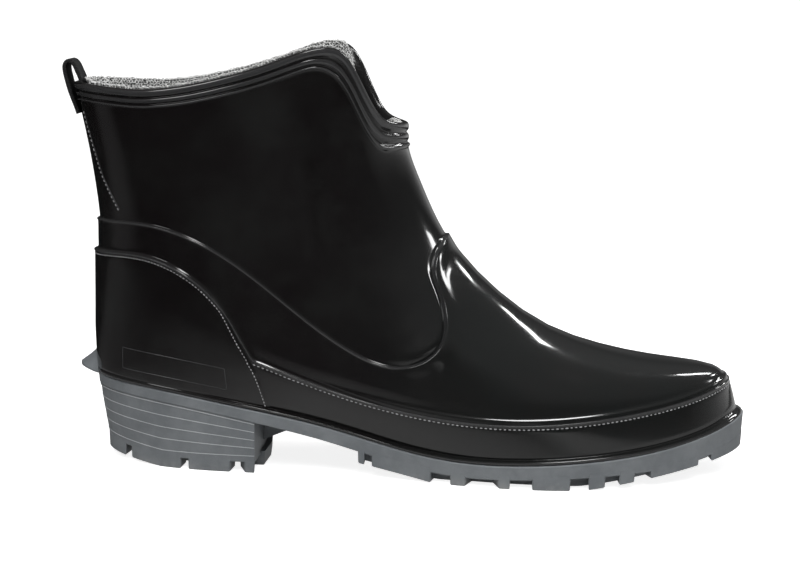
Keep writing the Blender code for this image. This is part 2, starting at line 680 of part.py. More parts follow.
def make_outsole(collection, cutters, root):
    rubber = make_material("grey_rubber", (0.15, 0.16, 0.17), 0.55)
    outsole = finish_mesh(strip_mesh(), "outsole", rubber, collection, root)
    pieces = (("heel_block", heel_mesh()), ("lugs", joined(lug_meshes())), ("spur", spur_mesh()),
              ("gusset", gusset_mesh()))
    others = []
    for name, bm in pieces:
        other = finish_mesh(bm, name, None, cutters, root)
        other.hide_render = True
        other.display_type = "WIRE"
        others.append(other)
    add_union(outsole, others)
    shade(outsole, 30)
    return outsole


def make_insole(collection, root):
    felt = make_material("grey_felt", (0.20, 0.20, 0.20), 0.95)
    phi = ring_angles()
    clear = -(WALL + 2 * GAP)
    bottom = plan_offset(0, phi, clear)
    rise = level_rise(np.zeros(len(phi)), phi, INSOLE_THICK)
    top = plan_offset(rise, phi, clear)
    insole = finish_mesh(loft([bottom, top], "ladder"), "insole", felt, collection, root)
    shade(insole, 40)
    return insole


def make_pull_loop(collection, root):
    webbing = make_material("black_webbing", (0.015, 0.015, 0.015), 0.75)
    path = smooth_path(STRAP, 28)
    bm = bmesh.new()
    half = LOOP_WIDTH / 2
    edges = [[bm.verts.new((x * MM, y * MM, z * MM)) for x, z in path] for y in (-half, half)]
    for i in range(len(path) - 1):
        bm.faces.new((edges[0][i], edges[1][i], edges[1][i + 1], edges[0][i + 1]))
    strap = finish_mesh(bm, "pull_loop", webbing, collection, root)
    body = strap.modifiers.new("thickness", "SOLIDIFY")
    body.thickness = LOOP_THICK * MM
    body.offset = 0
    body.use_even_offset = True
    shade(strap, 40)
    return strap


def centre_on_floor(parts, root):
    """Bring the middle of the whole boot over the origin."""
    bpy.context.view_layer.update()
    graph = bpy.context.evaluated_depsgraph_get()
    corners = np.array([part.matrix_world @ vertex.co for part in parts
                        for vertex in part.evaluated_get(graph).data.vertices])
    middle = (corners.min(axis=0) + corners.max(axis=0)) / 2
    root.location = (-middle[0], -middle[1], -corners[:, 2].min())
    bpy.context.view_layer.update()


def new_collection(name):
    collection = bpy.data.collections.new(name)
    bpy.context.scene.collection.children.link(collection)
    return collection


def main():
    for thing in list(bpy.data.objects):
        bpy.data.objects.remove(thing, do_unlink=True)
    boot = new_collection("rubber_ankle_boot")
    cutters = new_collection("join_forms")
    root = bpy.data.objects.new("boot_origin", None)
    boot.objects.link(root)
    parts = [make_upper(boot, root), make_outsole(boot, cutters, root), make_insole(boot, root),
             make_pull_loop(boot, root)]
    centre_on_floor(parts, root)


main()
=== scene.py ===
import math

import bmesh
import bpy
import numpy as np
from mathutils import Matrix, Vector


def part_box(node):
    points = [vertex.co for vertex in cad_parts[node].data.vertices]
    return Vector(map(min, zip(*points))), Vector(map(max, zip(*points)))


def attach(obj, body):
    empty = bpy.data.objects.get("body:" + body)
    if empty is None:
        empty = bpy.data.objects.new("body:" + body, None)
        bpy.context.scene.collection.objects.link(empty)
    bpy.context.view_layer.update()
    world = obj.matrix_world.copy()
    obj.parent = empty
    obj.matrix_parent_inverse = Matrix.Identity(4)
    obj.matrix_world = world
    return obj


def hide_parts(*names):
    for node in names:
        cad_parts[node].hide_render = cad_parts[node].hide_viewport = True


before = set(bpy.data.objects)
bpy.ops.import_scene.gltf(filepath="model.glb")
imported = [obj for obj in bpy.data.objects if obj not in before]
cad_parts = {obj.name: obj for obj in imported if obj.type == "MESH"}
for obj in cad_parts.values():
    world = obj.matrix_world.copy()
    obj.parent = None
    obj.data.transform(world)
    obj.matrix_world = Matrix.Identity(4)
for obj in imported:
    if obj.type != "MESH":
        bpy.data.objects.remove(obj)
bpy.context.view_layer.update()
mm = 0.001

# Form of foot and shaft in mm: heel back near x = 0, toe along +x, outer side along -y, floor at z = 0
lastForm = {
    "length": 266.0,
    "ballWidth": 87.6,
    "heelHeight": 36.0,
    "instepHeight": 95.0,
    "shaftHeight": 156.2,
    "stations": (0.12, 0.42, 0.70),          # where heel, waist and ball lie along a section
    # feather line to collar: backX backZ frontX frontZ heel waist ball (percent), backR frontR (mm),
    # then how far the section follows sole line, collar line and swing
    "sections": [
        (0.0, 0.0, 100.0, 25.1, 67, 68, 100, 20, 19, 1.00, 0.00, 1.00),
        (-0.2, 10.6, 98.7, 39.1, 69.3, 80.3, 100, 21, 19, 0.92, 0.00, 1.00),
        (-0.3, 15.4, 96.8, 46.8, 69.9, 83.8, 97, 21, 18.5, 0.75, 0.00, 0.95),
        (-0.3, 20.3, 91.2, 51.0, 70, 84, 92, 21, 18.5, 0.55, 0.00, 0.85),
        (-0.3, 31.7, 81.6, 53.9, 70, 84, 86, 21, 15, 0.25, 0.00, 0.60),
        (-0.3, 43.1, 70.5, 62.1, 68, 83, 81, 21, 15, 0.08, 0.00, 0.35),
        (-0.3, 52.8, 61.0, 78.9, 65, 83, 79, 21, 17, 0.00, 0.00, 0.15),
        (-0.9, 64.2, 54.2, 100.0, 63, 85, 78, 21.5, 18, 0.00, 0.04, 0.00),
        (-1.9, 77.2, 50.2, 121.6, 62, 87, 80, 22, 17, 0.00, 0.25, 0.00),
        (-3.1, 89.4, 47.9, 137.9, 61, 90, 84, 23, 18, 0.00, 0.65, 0.00),
        (-4.1, 100.0, 47.4, 150.0, 61, 92, 88, 24, 20, 0.00, 1.00, 0.00),
    ],
    "soleLine": [(0, 36.0), (33, 32.8), (66, 27.4), (95, 21.3), (127, 13.2), (150, 9.9), (176, 9.9),
                 (208, 12.2), (241, 16.9), (257, 21.0), (272, 25.9)],
    "collarLine": [(0.0, 0.0), (0.10, 1.0), (0.22, 2.1), (0.44, 9.7), (0.62, 19.7), (0.77, 27.8),
                   (0.83, 25.2), (0.88, 13.6), (0.925, 3.2), (0.96, 0.5), (1.0, 0.0)],
    "swingLine": [(-20, 0), (55, -0.3), (112, -2.2), (186, 0.3), (272, 4.5)],
}
topLevel = float(len(lastForm["sections"]) - 1)


def splineWeights(knots, at):
    knots = np.asarray(knots, float)
    at = np.atleast_1d(np.asarray(at, float))
    count = len(knots)
    gap = np.diff(knots)
    bend = np.eye(count)
    load = np.zeros((count, count))
    for i in range(1, count - 1):
        bend[i, i - 1:i + 2] = gap[i - 1], 2 * (gap[i - 1] + gap[i]), gap[i]
        load[i, i - 1:i + 2] = 6 / gap[i - 1], -6 / gap[i - 1] - 6 / gap[i], 6 / gap[i]
    curvature = np.linalg.solve(bend, load)
    span = np.clip(np.searchsorted(knots, at, side="right") - 1, 0, count - 2)
    width = gap[span]
    after = (at - knots[span]) / width
    before = 1 - after
    unit = np.eye(count)
    weights = before[:, None] * unit[span] + after[:, None] * unit[span + 1]
    weights += ((before ** 3 - before) * width ** 2 / 6)[:, None] * curvature[span]
    weights += ((after ** 3 - after) * width ** 2 / 6)[:, None] * curvature[span + 1]
    return weights


def alongTable(table, at):
    knots, values = np.array(table, float).T
    return splineWeights(knots, np.clip(at, knots[0], knots[-1])) @ values


def runningSum(steps):
    return np.concatenate([[0], np.cumsum(steps)])


def runLength(points):
    return runningSum(np.linalg.norm(np.diff(points, axis=0), axis=1))


def runningMean(values, reach, ends="edge"):
    window = np.ones(2 * reach + 1) / (2 * reach + 1)
    return np.convolve(np.pad(values, reach, mode=ends), window, mode="valid")


def smoothPath(table, count):
    points = np.array(table, float)
    run = runLength(points)
    return splineWeights(run, np.linspace(0, run[-1], count)) @ points


def smoothStep(low, high, at):
    share = np.clip((np.asarray(at, float) - low) / (high - low), 0, 1)
    return share * share * (3 - 2 * share)


def alongShare(phi):
    # 0 at the back of the heel, 1 at the toe
    return (1 - np.cos(phi)) / 2


def foldedAngle(phi):
    return np.abs((phi + math.pi) % (2 * math.pi) - math.pi)


def counterLean(level, phi):
    # columns near the counter's front edge lean with it
    near = np.exp(-((foldedAngle(phi) - upperForm["counterAngle"]) / upperForm["leanReach"]) ** 2)
    share = np.clip(level / upperForm["counterTop"], 0, 1)
    return np.sign(np.sin(phi)) * upperForm["counterLean"] * (0.5 - share) * near


def bareSurface(level, phi):
    phi = np.asarray(phi, float)
    level = np.broadcast_to(np.asarray(level, float), phi.shape)
    phi = phi + counterLean(level, phi)
    sections = np.array(lastForm["sections"], float)
    (backX, backZ, frontX, frontZ, heel, waist, ball, backR, frontR, sole, wave, swing) = (
        splineWeights(np.arange(len(sections)), level) @ sections).T
    length = lastForm["length"]
    heelHeight = lastForm["heelHeight"]
    along = alongShare(phi)
    x = (backX + (frontX - backX) * along) * length / 100
    halfLength = (frontX - backX) * length / 200
    station = np.array(lastForm["stations"])
    stretch = lastForm["ballWidth"] / 200 / (2 * np.sqrt(station * (1 - station)))
    fullness = np.stack([np.sqrt(backR * halfLength), heel * stretch[0], waist * stretch[1],
                         ball * stretch[2], np.sqrt(frontR * halfLength)], axis=1)
    y = -np.sin(phi) * np.sum(splineWeights([0, *station, 1], along) * fullness, axis=1)
    y = y + swing * alongTable(lastForm["swingLine"], x)
    backZ = heelHeight + backZ * (lastForm["shaftHeight"] - heelHeight) / 100
    frontZ = frontZ * lastForm["instepHeight"] / 100
    toeZ = lastForm["sections"][0][3] * lastForm["instepHeight"] / 100
    sag = alongTable(lastForm["soleLine"], x) - (heelHeight + (toeZ - heelHeight) * x / length)
    z = backZ + (frontZ - backZ) * along + sole * sag + wave * alongTable(lastForm["collarLine"], along)
    return np.stack([x, y, z], axis=1)


def surfaceSlopes(level, phi):
    turn, rise = 0.004, 0.01
    level = np.broadcast_to(np.asarray(level, float), np.shape(phi))
    low = np.clip(level - rise, 0, topLevel - rise)
    high = np.clip(level + rise, rise, topLevel)
    around = (bareSurface(level, phi + turn) - bareSurface(level, phi - turn)) / (2 * turn)
    upward = (bareSurface(high, phi) - bareSurface(low, phi)) / (high - low)[:, None]
    return around, upward


def unitRows(vectors):
    return vectors / np.linalg.norm(vectors, axis=1)[:, None]


def surfaceNormal(level, phi):
    around, upward = surfaceSlopes(level, phi)
    return unitRows(np.cross(around, upward))


def offsetSurface(level, phi, out):
    phi = np.asarray(phi, float)
    return bareSurface(level, phi) + surfaceNormal(level, phi) * np.broadcast_to(out, phi.shape)[:, None]


def planOffset(level, phi, out):
    phi = np.asarray(phi, float)
    around, _ = surfaceSlopes(level, phi)
    flat = unitRows(np.stack([around[:, 1], -around[:, 0], np.zeros(len(phi))], axis=1))
    return bareSurface(level, phi) + flat * np.broadcast_to(out, phi.shape)[:, None]


def levelRate(level, phi, slope):
    # levels to climb per mm, measured square to a line that rises by slope
    around, upward = surfaceSlopes(level, phi)
    line = around + upward * np.broadcast_to(slope, np.shape(phi))[:, None]
    return np.linalg.norm(line, axis=1) / np.linalg.norm(np.cross(around, upward), axis=1)


def seamLevel(path, phi):
    steps = np.linspace(0, topLevel, 241)
    start = path[:-1]
    run = path[1:] - start
    levels = []
    for angle in phi:
        column = bareSurface(steps, np.full(len(steps), angle))[:, [0, 2]]
        rise = column[1:] - column[:-1]
        apart = start[None] - column[:-1, None]
        cross = rise[:, None, 0] * run[None, :, 1] - rise[:, None, 1] * run[None, :, 0]
        cross = np.where(np.abs(cross) < 1e-9, 1e-9, cross)
        onColumn = (apart[..., 0] * run[None, :, 1] - apart[..., 1] * run[None, :, 0]) / cross
        onSeam = (apart[..., 0] * rise[:, None, 1] - apart[..., 1] * rise[:, None, 0]) / cross
        hit = (onColumn >= 0) & (onColumn < 1) & (onSeam >= 0) & (onSeam < 1)
        row, piece = np.argwhere(hit)[0]
        levels.append(steps[row] + onColumn[row, piece] * (steps[1] - steps[0]))
    return np.array(levels)


# Where the row's frame lies against these millimetres
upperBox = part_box("upper")
shift = np.zeros(3)


def placed(points):
    return (np.asarray(points, float) + shift) * mm


def newObject(name, mesh):
    thing = bpy.data.objects.new(name, mesh)
    bpy.context.scene.collection.objects.link(thing)
    return thing


def smoothShade(thing, degrees):
    thing.data.shade_smooth()
    thing.data.set_sharp_from_angle(angle=math.radians(degrees))


def ladderFaces(base, count, flip):
    faces = []
    for i in range(count // 2):
        corner = [i, i + 1, (count - i - 1) % count, -i % count]
        face = [base + k for k in dict.fromkeys(corner)]
        faces.append(face[::-1] if flip else face)
    return faces


def gridMesh(name, rings, ends, uv=None):
    # ends: wrap joins last ring to first, ladder and flat close both ends, open leaves them
    rings = np.asarray(rings, float)
    rows, cols = rings.shape[:2]
    index = np.arange(rows * cols).reshape(rows, cols)
    low = index if ends == "wrap" else index[:-1]
    high = np.roll(index, -1, axis=0) if ends == "wrap" else index[1:]
    quads = np.stack([low, np.roll(low, -1, axis=1), np.roll(high, -1, axis=1), high], axis=-1)
    faces = quads.reshape(-1, 4).tolist()
    if ends == "ladder":
        faces += ladderFaces(0, cols, True) + ladderFaces((rows - 1) * cols, cols, False)
    if ends == "flat":
        faces += [index[0, ::-1].tolist(), index[-1].tolist()]
    mesh = bpy.data.meshes.new(name)
    mesh.from_pydata(placed(rings.reshape(-1, 3)).tolist(), [], faces)
    if uv is not None:
        uRows, vCols = uv                     # one more value than rows or columns where a side wraps
        layer = mesh.uv_layers.new(name="threadMap")
        flat = []
        for r in range(len(low)):
            for c in range(cols):
                left, right, near, far = vCols[c], vCols[c + 1], uRows[r], uRows[r + 1]
                flat += [left, near, right, near, right, far, left, far]
        flat += [0.0] * (2 * len(mesh.loops) - len(flat))
        layer.data.foreach_set("uv", flat)
    bm = bmesh.new()
    bm.from_mesh(mesh)
    bmesh.ops.recalc_face_normals(bm, faces=bm.faces)
    bm.to_mesh(mesh)
    bm.free()
    return mesh


def finishPiece(thing, material, slotName, *nodes):
    if material is not None:
        thing.data.materials.clear()
        thing.data.materials.append(material)
    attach(thing, "root")
    if nodes:
        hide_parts(*nodes)
    print("made", thing.name, len(thing.data.polygons), "faces")


# Shading helpers: a plain value is set on a socket, another node's socket is linked to it
def setInputs(node, values, sockets=None):
    for name, value in values.items():
        socket = (sockets or node.inputs)[name]
        if isinstance(value, bpy.types.NodeSocket):
            node.id_data.links.new(value, socket)
        else:
            socket.default_value = value


def addNode(tree, kind, values=None, **settings):
    node = tree.nodes.new(kind)
    for name, value in settings.items():
        setattr(node, name, value)
    setInputs(node, values or {})
    return node


def mathNode(tree, operation, *values):
    return addNode(tree, "ShaderNodeMath", dict(enumerate(values)), operation=operation).outputs[0]


def mapValue(tree, value, low, high, toLow, toHigh, curve="LINEAR"):
    node = addNode(tree, "ShaderNodeMapRange", {
        "Value": value, "From Min": low, "From Max": high, "To Min": toLow, "To Max": toHigh},
        interpolation_type=curve)
    return node.outputs["Result"]


def blendValue(tree, factor, first, second):
    node = addNode(tree, "ShaderNodeMix", {"Factor": factor, "A": first, "B": second}, data_type="FLOAT")
    return node.outputs["Result"]


def mixColour(tree, factor, first, second):
    ends = [(*value, 1) if isinstance(value, tuple) else value for value in (first, second)]
    node = addNode(tree, "ShaderNodeMix", {0: factor, 6: ends[0], 7: ends[1]}, data_type="RGBA")
    return node.outputs[2]


def splitPlace(tree, vector):
    return addNode(tree, "ShaderNodeSeparateXYZ", {0: vector}).outputs


def shaderGroup(name, values, output):
    tree = bpy.data.node_groups.new(name, "ShaderNodeTree")
    tree.interface.new_socket("Vector", in_out="INPUT", socket_type="NodeSocketVector")
    for label, value in values.items():
        socket = tree.interface.new_socket(label, in_out="INPUT", socket_type="NodeSocketFloat")
        socket.default_value = value
    tree.interface.new_socket(output, in_out="OUTPUT", socket_type="NodeSocketFloat")
    return tree, tree.nodes.new("NodeGroupInput").outputs, tree.nodes.new("NodeGroupOutput")


def makeWearGroup():
    # large soft patches broken up by smaller ones
    tree, give, take = shaderGroup("handlingWear", {"Scale": 30.0, "Low": 0.42, "High": 0.66}, "Mask")
    smaller = mathNode(tree, "MULTIPLY", give["Scale"], 5.3)
    large = addNode(tree, "ShaderNodeTexNoise", {
        "Vector": give["Vector"], "Scale": give["Scale"], "Detail": 3.0, "Roughness": 0.55})
    fine = addNode(tree, "ShaderNodeTexNoise", {
        "Vector": give["Vector"], "Scale": smaller, "Detail": 4.0, "Roughness": 0.65})
    patches = blendValue(tree, 0.32, large.outputs["Fac"], fine.outputs["Fac"])
    setInputs(take, {"Mask": mapValue(tree, patches, give["Low"], give["High"], 0.0, 1.0, "SMOOTHSTEP")})
    return tree


def makeGrainGroup():
    # moulding skin: slow waves under a fine pebble
    tree, give, take = shaderGroup("mouldGrain", {"Scale": 900.0, "Waves": 0.6}, "Height")
    slower = mathNode(tree, "MULTIPLY", give["Scale"], 0.11)
    pebble = addNode(tree, "ShaderNodeTexVoronoi", {
        "Vector": give["Vector"], "Scale": give["Scale"]}, feature="SMOOTH_F1")
    slow = addNode(tree, "ShaderNodeTexNoise", {"Vector": give["Vector"], "Scale": slower, "Detail": 2.0})
    height = blendValue(tree, give["Waves"], pebble.outputs["Distance"], slow.outputs["Fac"])
    setInputs(take, {"Height": height})
    return tree


def makeDustGroup():
    # scattered specks, fewer where Amount is small
    tree, give, take = shaderGroup("dustSpecks", {"Scale": 500.0, "Amount": 0.12}, "Mask")
    cells = addNode(tree, "ShaderNodeTexVoronoi", {
        "Vector": give["Vector"], "Scale": give["Scale"], "Randomness": 1.0})
    setInputs(take, {"Mask": mapValue(tree, cells.outputs["Distance"], 0.0, give["Amount"], 1.0, 0.0)})
    return tree


def makeThreadGroup():
    # ribs along and across a cloth, from its own map in mm
    tree, give, take = shaderGroup("threadRibs", {"Along": 1.0, "Across": 1.0, "Twist": 0.5}, "Height")
    apart = splitPlace(tree, give["Vector"])
    waves = []
    for axis, label in (("X", "Across"), ("Y", "Along")):
        turn = mathNode(tree, "DIVIDE", apart[axis], give[label])
        waves.append(mathNode(tree, "SINE", mathNode(tree, "MULTIPLY", turn, 2 * math.pi)))
    ribs = mapValue(tree, mathNode(tree, "MULTIPLY", *waves), -1.0, 1.0, 0.0, 1.0)
    fuzz = addNode(tree, "ShaderNodeTexNoise", {"Vector": give["Vector"], "Scale": 2.2, "Detail": 3.0})
    setInputs(take, {"Height": blendValue(tree, give["Twist"], ribs, fuzz.outputs["Fac"])})
    return tree


wearGroup = makeWearGroup()
grainGroup = makeGrainGroup()
dustGroup = makeDustGroup()
threadGroup = makeThreadGroup()


def newMaterial(name, constants):
    material = bpy.data.materials.new(name)
    material.use_nodes = True
    tree = material.node_tree
    shader = tree.nodes["Principled BSDF"]
    setInputs(shader, constants)
    return material, tree, shader, tree.nodes.new("ShaderNodeTexCoord").outputs


def groupNode(tree, group, vector, values):
    node = tree.nodes.new("ShaderNodeGroup")
    node.node_tree = group
    setInputs(node, {"Vector": vector, **values})
    return node.outputs[0]


def addBump(tree, shader, height, strength, distance):
    bump = addNode(tree, "ShaderNodeBump", {"Height": height, "Strength": strength, "Distance": distance})
    setInputs(shader, {"Normal": bump.outputs["Normal"]})


blackFinish = {
    # the toe side's paler tone is painted light, for the vamp's brighter sheen
    "heelSide": (0.0056, 0.0047, 0.0049), "toeSideSheen": (0.0088, 0.0098, 0.0096),
    "sideTurn": (-0.025, 0.03),               # where along the boot one tone turns into the other
    "hazed": (0.0095, 0.0095, 0.0092), "dust": (0.05, 0.05, 0.048),
    # pale crest colour: a painted highlight, with a little wear from rubbing
    "rubAndHighlight": (0.036, 0.036, 0.037), "rubAndHighlightMost": 0.8,
    # stitches and thin raised lines are paler still: painted highlights on their crests
    "stitchHighlight": (0.26, 0.26, 0.265), "line": (0.03, 0.03, 0.031), "crestHaze": 1.5,
    "gloss": (0.10, 0.17), "coat": 0.55, "coatRoughness": 0.03,
    "haze": {"Scale": 26.0, "Low": 0.40, "High": 0.68}, "specks": {"Scale": 420.0, "Amount": 0.055},
    "grain": {"Scale": 950.0, "Waves": 0.9}, "bump": (0.012, 0.00010),
}


def makeBlackRubber(name, crest=None):
    material, tree, shader, place = newMaterial(name, {
        "Coat Weight": blackFinish["coat"], "Coat Roughness": blackFinish["coatRoughness"]})
    where = place["Object"]
    haze = groupNode(tree, wearGroup, where, blackFinish["haze"])
    specks = groupNode(tree, dustGroup, where, blackFinish["specks"])
    grain = groupNode(tree, grainGroup, where, blackFinish["grain"])
    if crest:
        colour = mixColour(tree, haze, crest, tuple(blackFinish["crestHaze"] * c for c in crest))
    else:
        # paler towards the toe: painted sheen on the vamp
        lengthwise = mapValue(tree, splitPlace(tree, where)["X"], *blackFinish["sideTurn"], 0.0, 1.0)
        colour = mixColour(tree, lengthwise, blackFinish["heelSide"], blackFinish["toeSideSheen"])
        colour = mixColour(tree, haze, colour, blackFinish["hazed"])
        # crests of beads and lines are paler: a little wear from rubbing, mostly a painted highlight
        worn = addNode(tree, "ShaderNodeAttribute", attribute_name="rubAndHighlight")
        share = mapValue(tree, worn.outputs["Fac"], 0, 1, 0.0, blackFinish["rubAndHighlightMost"])
        colour = mixColour(tree, share, colour, blackFinish["rubAndHighlight"])
    colour = mixColour(tree, specks, colour, blackFinish["dust"])
    setInputs(shader, {"Base Color": colour, "Roughness": mapValue(tree, haze, 0, 1, *blackFinish["gloss"])})
    addBump(tree, shader, grain, *blackFinish["bump"])
    return material


greyFinish = {
    "dark": (0.141, 0.153, 0.163), "light": (0.180, 0.194, 0.205), "dust": (0.30, 0.30, 0.29),
    # the heel ribs' paler greys are a painted highlight
    "ribHighlightDark": (0.33, 0.345, 0.355), "ribHighlightLight": (0.42, 0.435, 0.445), "matt": (0.48, 0.62), "shine": 0.4,
    "dustHeight": 0.004, "dustShare": (0.5, 0.06),         # floor dust on what walks, at the floor and above
    "mottle": {"Scale": 55.0, "Low": 0.36, "High": 0.66}, "specks": {"Scale": 700.0, "Amount": 0.10},
    "grain": {"Scale": 1500.0, "Waves": 0.35}, "bump": (0.35, 0.00012),
}


def makeGreyRubber(name, dark, light):
    material, tree, shader, place = newMaterial(name, {"Specular IOR Level": greyFinish["shine"]})
    where = place["Object"]
    mottle = groupNode(tree, wearGroup, where, greyFinish["mottle"])
    specks = groupNode(tree, dustGroup, where, greyFinish["specks"])
    grain = groupNode(tree, grainGroup, where, greyFinish["grain"])
    colour = mixColour(tree, mottle, dark, light)
    low = mapValue(tree, splitPlace(tree, where)["Z"], 0.0, greyFinish["dustHeight"], *greyFinish["dustShare"])
    colour = mixColour(tree, mathNode(tree, "MULTIPLY", low, mottle), colour, greyFinish["dust"])
    colour = mixColour(tree, specks, colour, greyFinish["dust"])
    setInputs(shader, {"Base Color": colour, "Roughness": mapValue(tree, mottle, 0, 1, *greyFinish["matt"])})
    addBump(tree, shader, grain, *greyFinish["bump"])
    return material


knitFinish = {
    "hole": (0.04, 0.04, 0.04), "yarn": (0.50, 0.50, 0.495), "bright": (0.70, 0.70, 0.69),
    "sleeveShade": 0.30,                      # the sleeve lies in the loops' shade
    "matt": {"Roughness": 0.92, "Specular IOR Level": 0.15},
    "mottle": {"Scale": 240.0, "Low": 0.35, "High": 0.68},
    "ribs": {"Along": 1.5, "Across": 1.3, "Twist": 0.5}, "ribEdge": (0.34, 0.60), "ribBump": (0.9, 0.0007),
    "fibre": {"Scale": 2600.0, "Waves": 0.2}, "fibreBump": (0.6, 0.00015),
}


def makeKnit(name, mapped):
    material, tree, shader, place = newMaterial(name, knitFinish["matt"])
    mottle = groupNode(tree, wearGroup, place["Object"], knitFinish["mottle"])
    shade = knitFinish["sleeveShade"] if mapped else 1.0
    tones = [tuple(shade * c for c in knitFinish[key]) for key in ("yarn", "bright")]
    colour = mixColour(tree, mottle, *tones)
    if mapped:
        ribs = groupNode(tree, threadGroup, place["UV"], knitFinish["ribs"])
        yarn = mapValue(tree, ribs, *knitFinish["ribEdge"], 0.0, 1.0)
        colour = mixColour(tree, yarn, knitFinish["hole"], colour)
        addBump(tree, shader, ribs, *knitFinish["ribBump"])
    else:
        fibre = groupNode(tree, grainGroup, place["Object"], knitFinish["fibre"])
        addBump(tree, shader, fibre, *knitFinish["fibreBump"])
    setInputs(shader, {"Base Color": colour})
    return material


webbingFinish = {
    "dark": (0.006, 0.006, 0.006), "light": (0.022, 0.022, 0.022), "worn": (0.012, 0.012, 0.013),
    "matt": (0.62, 0.78), "shine": 0.35, "bump": (0.7, 0.00035),
    "ribs": {"Along": 1.1, "Across": 1.6, "Twist": 0.25}, "mottle": {"Scale": 160.0, "Low": 0.35, "High": 0.7},
}


def makeWebbing():
    material, tree, shader, place = newMaterial("blackWebbing", {"Specular IOR Level": webbingFinish["shine"]})
    ribs = groupNode(tree, threadGroup, place["UV"], webbingFinish["ribs"])
    mottle = groupNode(tree, wearGroup, place["Object"], webbingFinish["mottle"])
    colour = mixColour(tree, ribs, webbingFinish["dark"], webbingFinish["light"])
    colour = mixColour(tree, mottle, colour, webbingFinish["worn"])
    setInputs(shader, {"Base Color": colour, "Roughness": mapValue(tree, mottle, 0, 1, *webbingFinish["matt"])})
    addBump(tree, shader, ribs, *webbingFinish["bump"])
    return material


feltFinish = {
    "dark": (0.13, 0.13, 0.13), "light": (0.24, 0.24, 0.235), "trodden": (0.12, 0.12, 0.118),
    "matt": {"Roughness": 0.95, "Specular IOR Level": 0.1}, "bump": (0.6, 0.0004),
    "fibre": {"Scale": 420.0, "Low": 0.3, "High": 0.7}, "tread": {"Scale": 22.0, "Low": 0.4, "High": 0.65},
}


def makeFelt():
    material, tree, shader, place = newMaterial("greyFelt", feltFinish["matt"])
    fibre = groupNode(tree, wearGroup, place["Object"], feltFinish["fibre"])
    tread = groupNode(tree, wearGroup, place["Object"], feltFinish["tread"])
    colour = mixColour(tree, fibre, feltFinish["dark"], feltFinish["light"])
    setInputs(shader, {"Base Color": mixColour(tree, tread, colour, feltFinish["trodden"])})
    addBump(tree, shader, fibre, *feltFinish["bump"])
    return material


blackRubber = makeBlackRubber("blackGlossRubber")
# the stitches' pale colour is a painted highlight
stitchHighlightRubber = makeBlackRubber("blackRubberStitchHighlight", blackFinish["stitchHighlight"])
# the raised lines' pale colour is a painted highlight
lineHighlightRubber = makeBlackRubber("blackRubberLineHighlight", blackFinish["line"])
greyRubber = makeGreyRubber("greyRubber", greyFinish["dark"], greyFinish["light"])
# ribs in pale grey: painted highlight
ribHighlightRubber = makeGreyRubber("greyRubberRibHighlight", greyFinish["ribHighlightDark"], greyFinish["ribHighlightLight"])
liningKnit = makeKnit("liningKnit", True)
loopYarn = makeKnit("liningYarn", False)
webbing = makeWebbing()
felt = makeFelt()
print("materials ready")


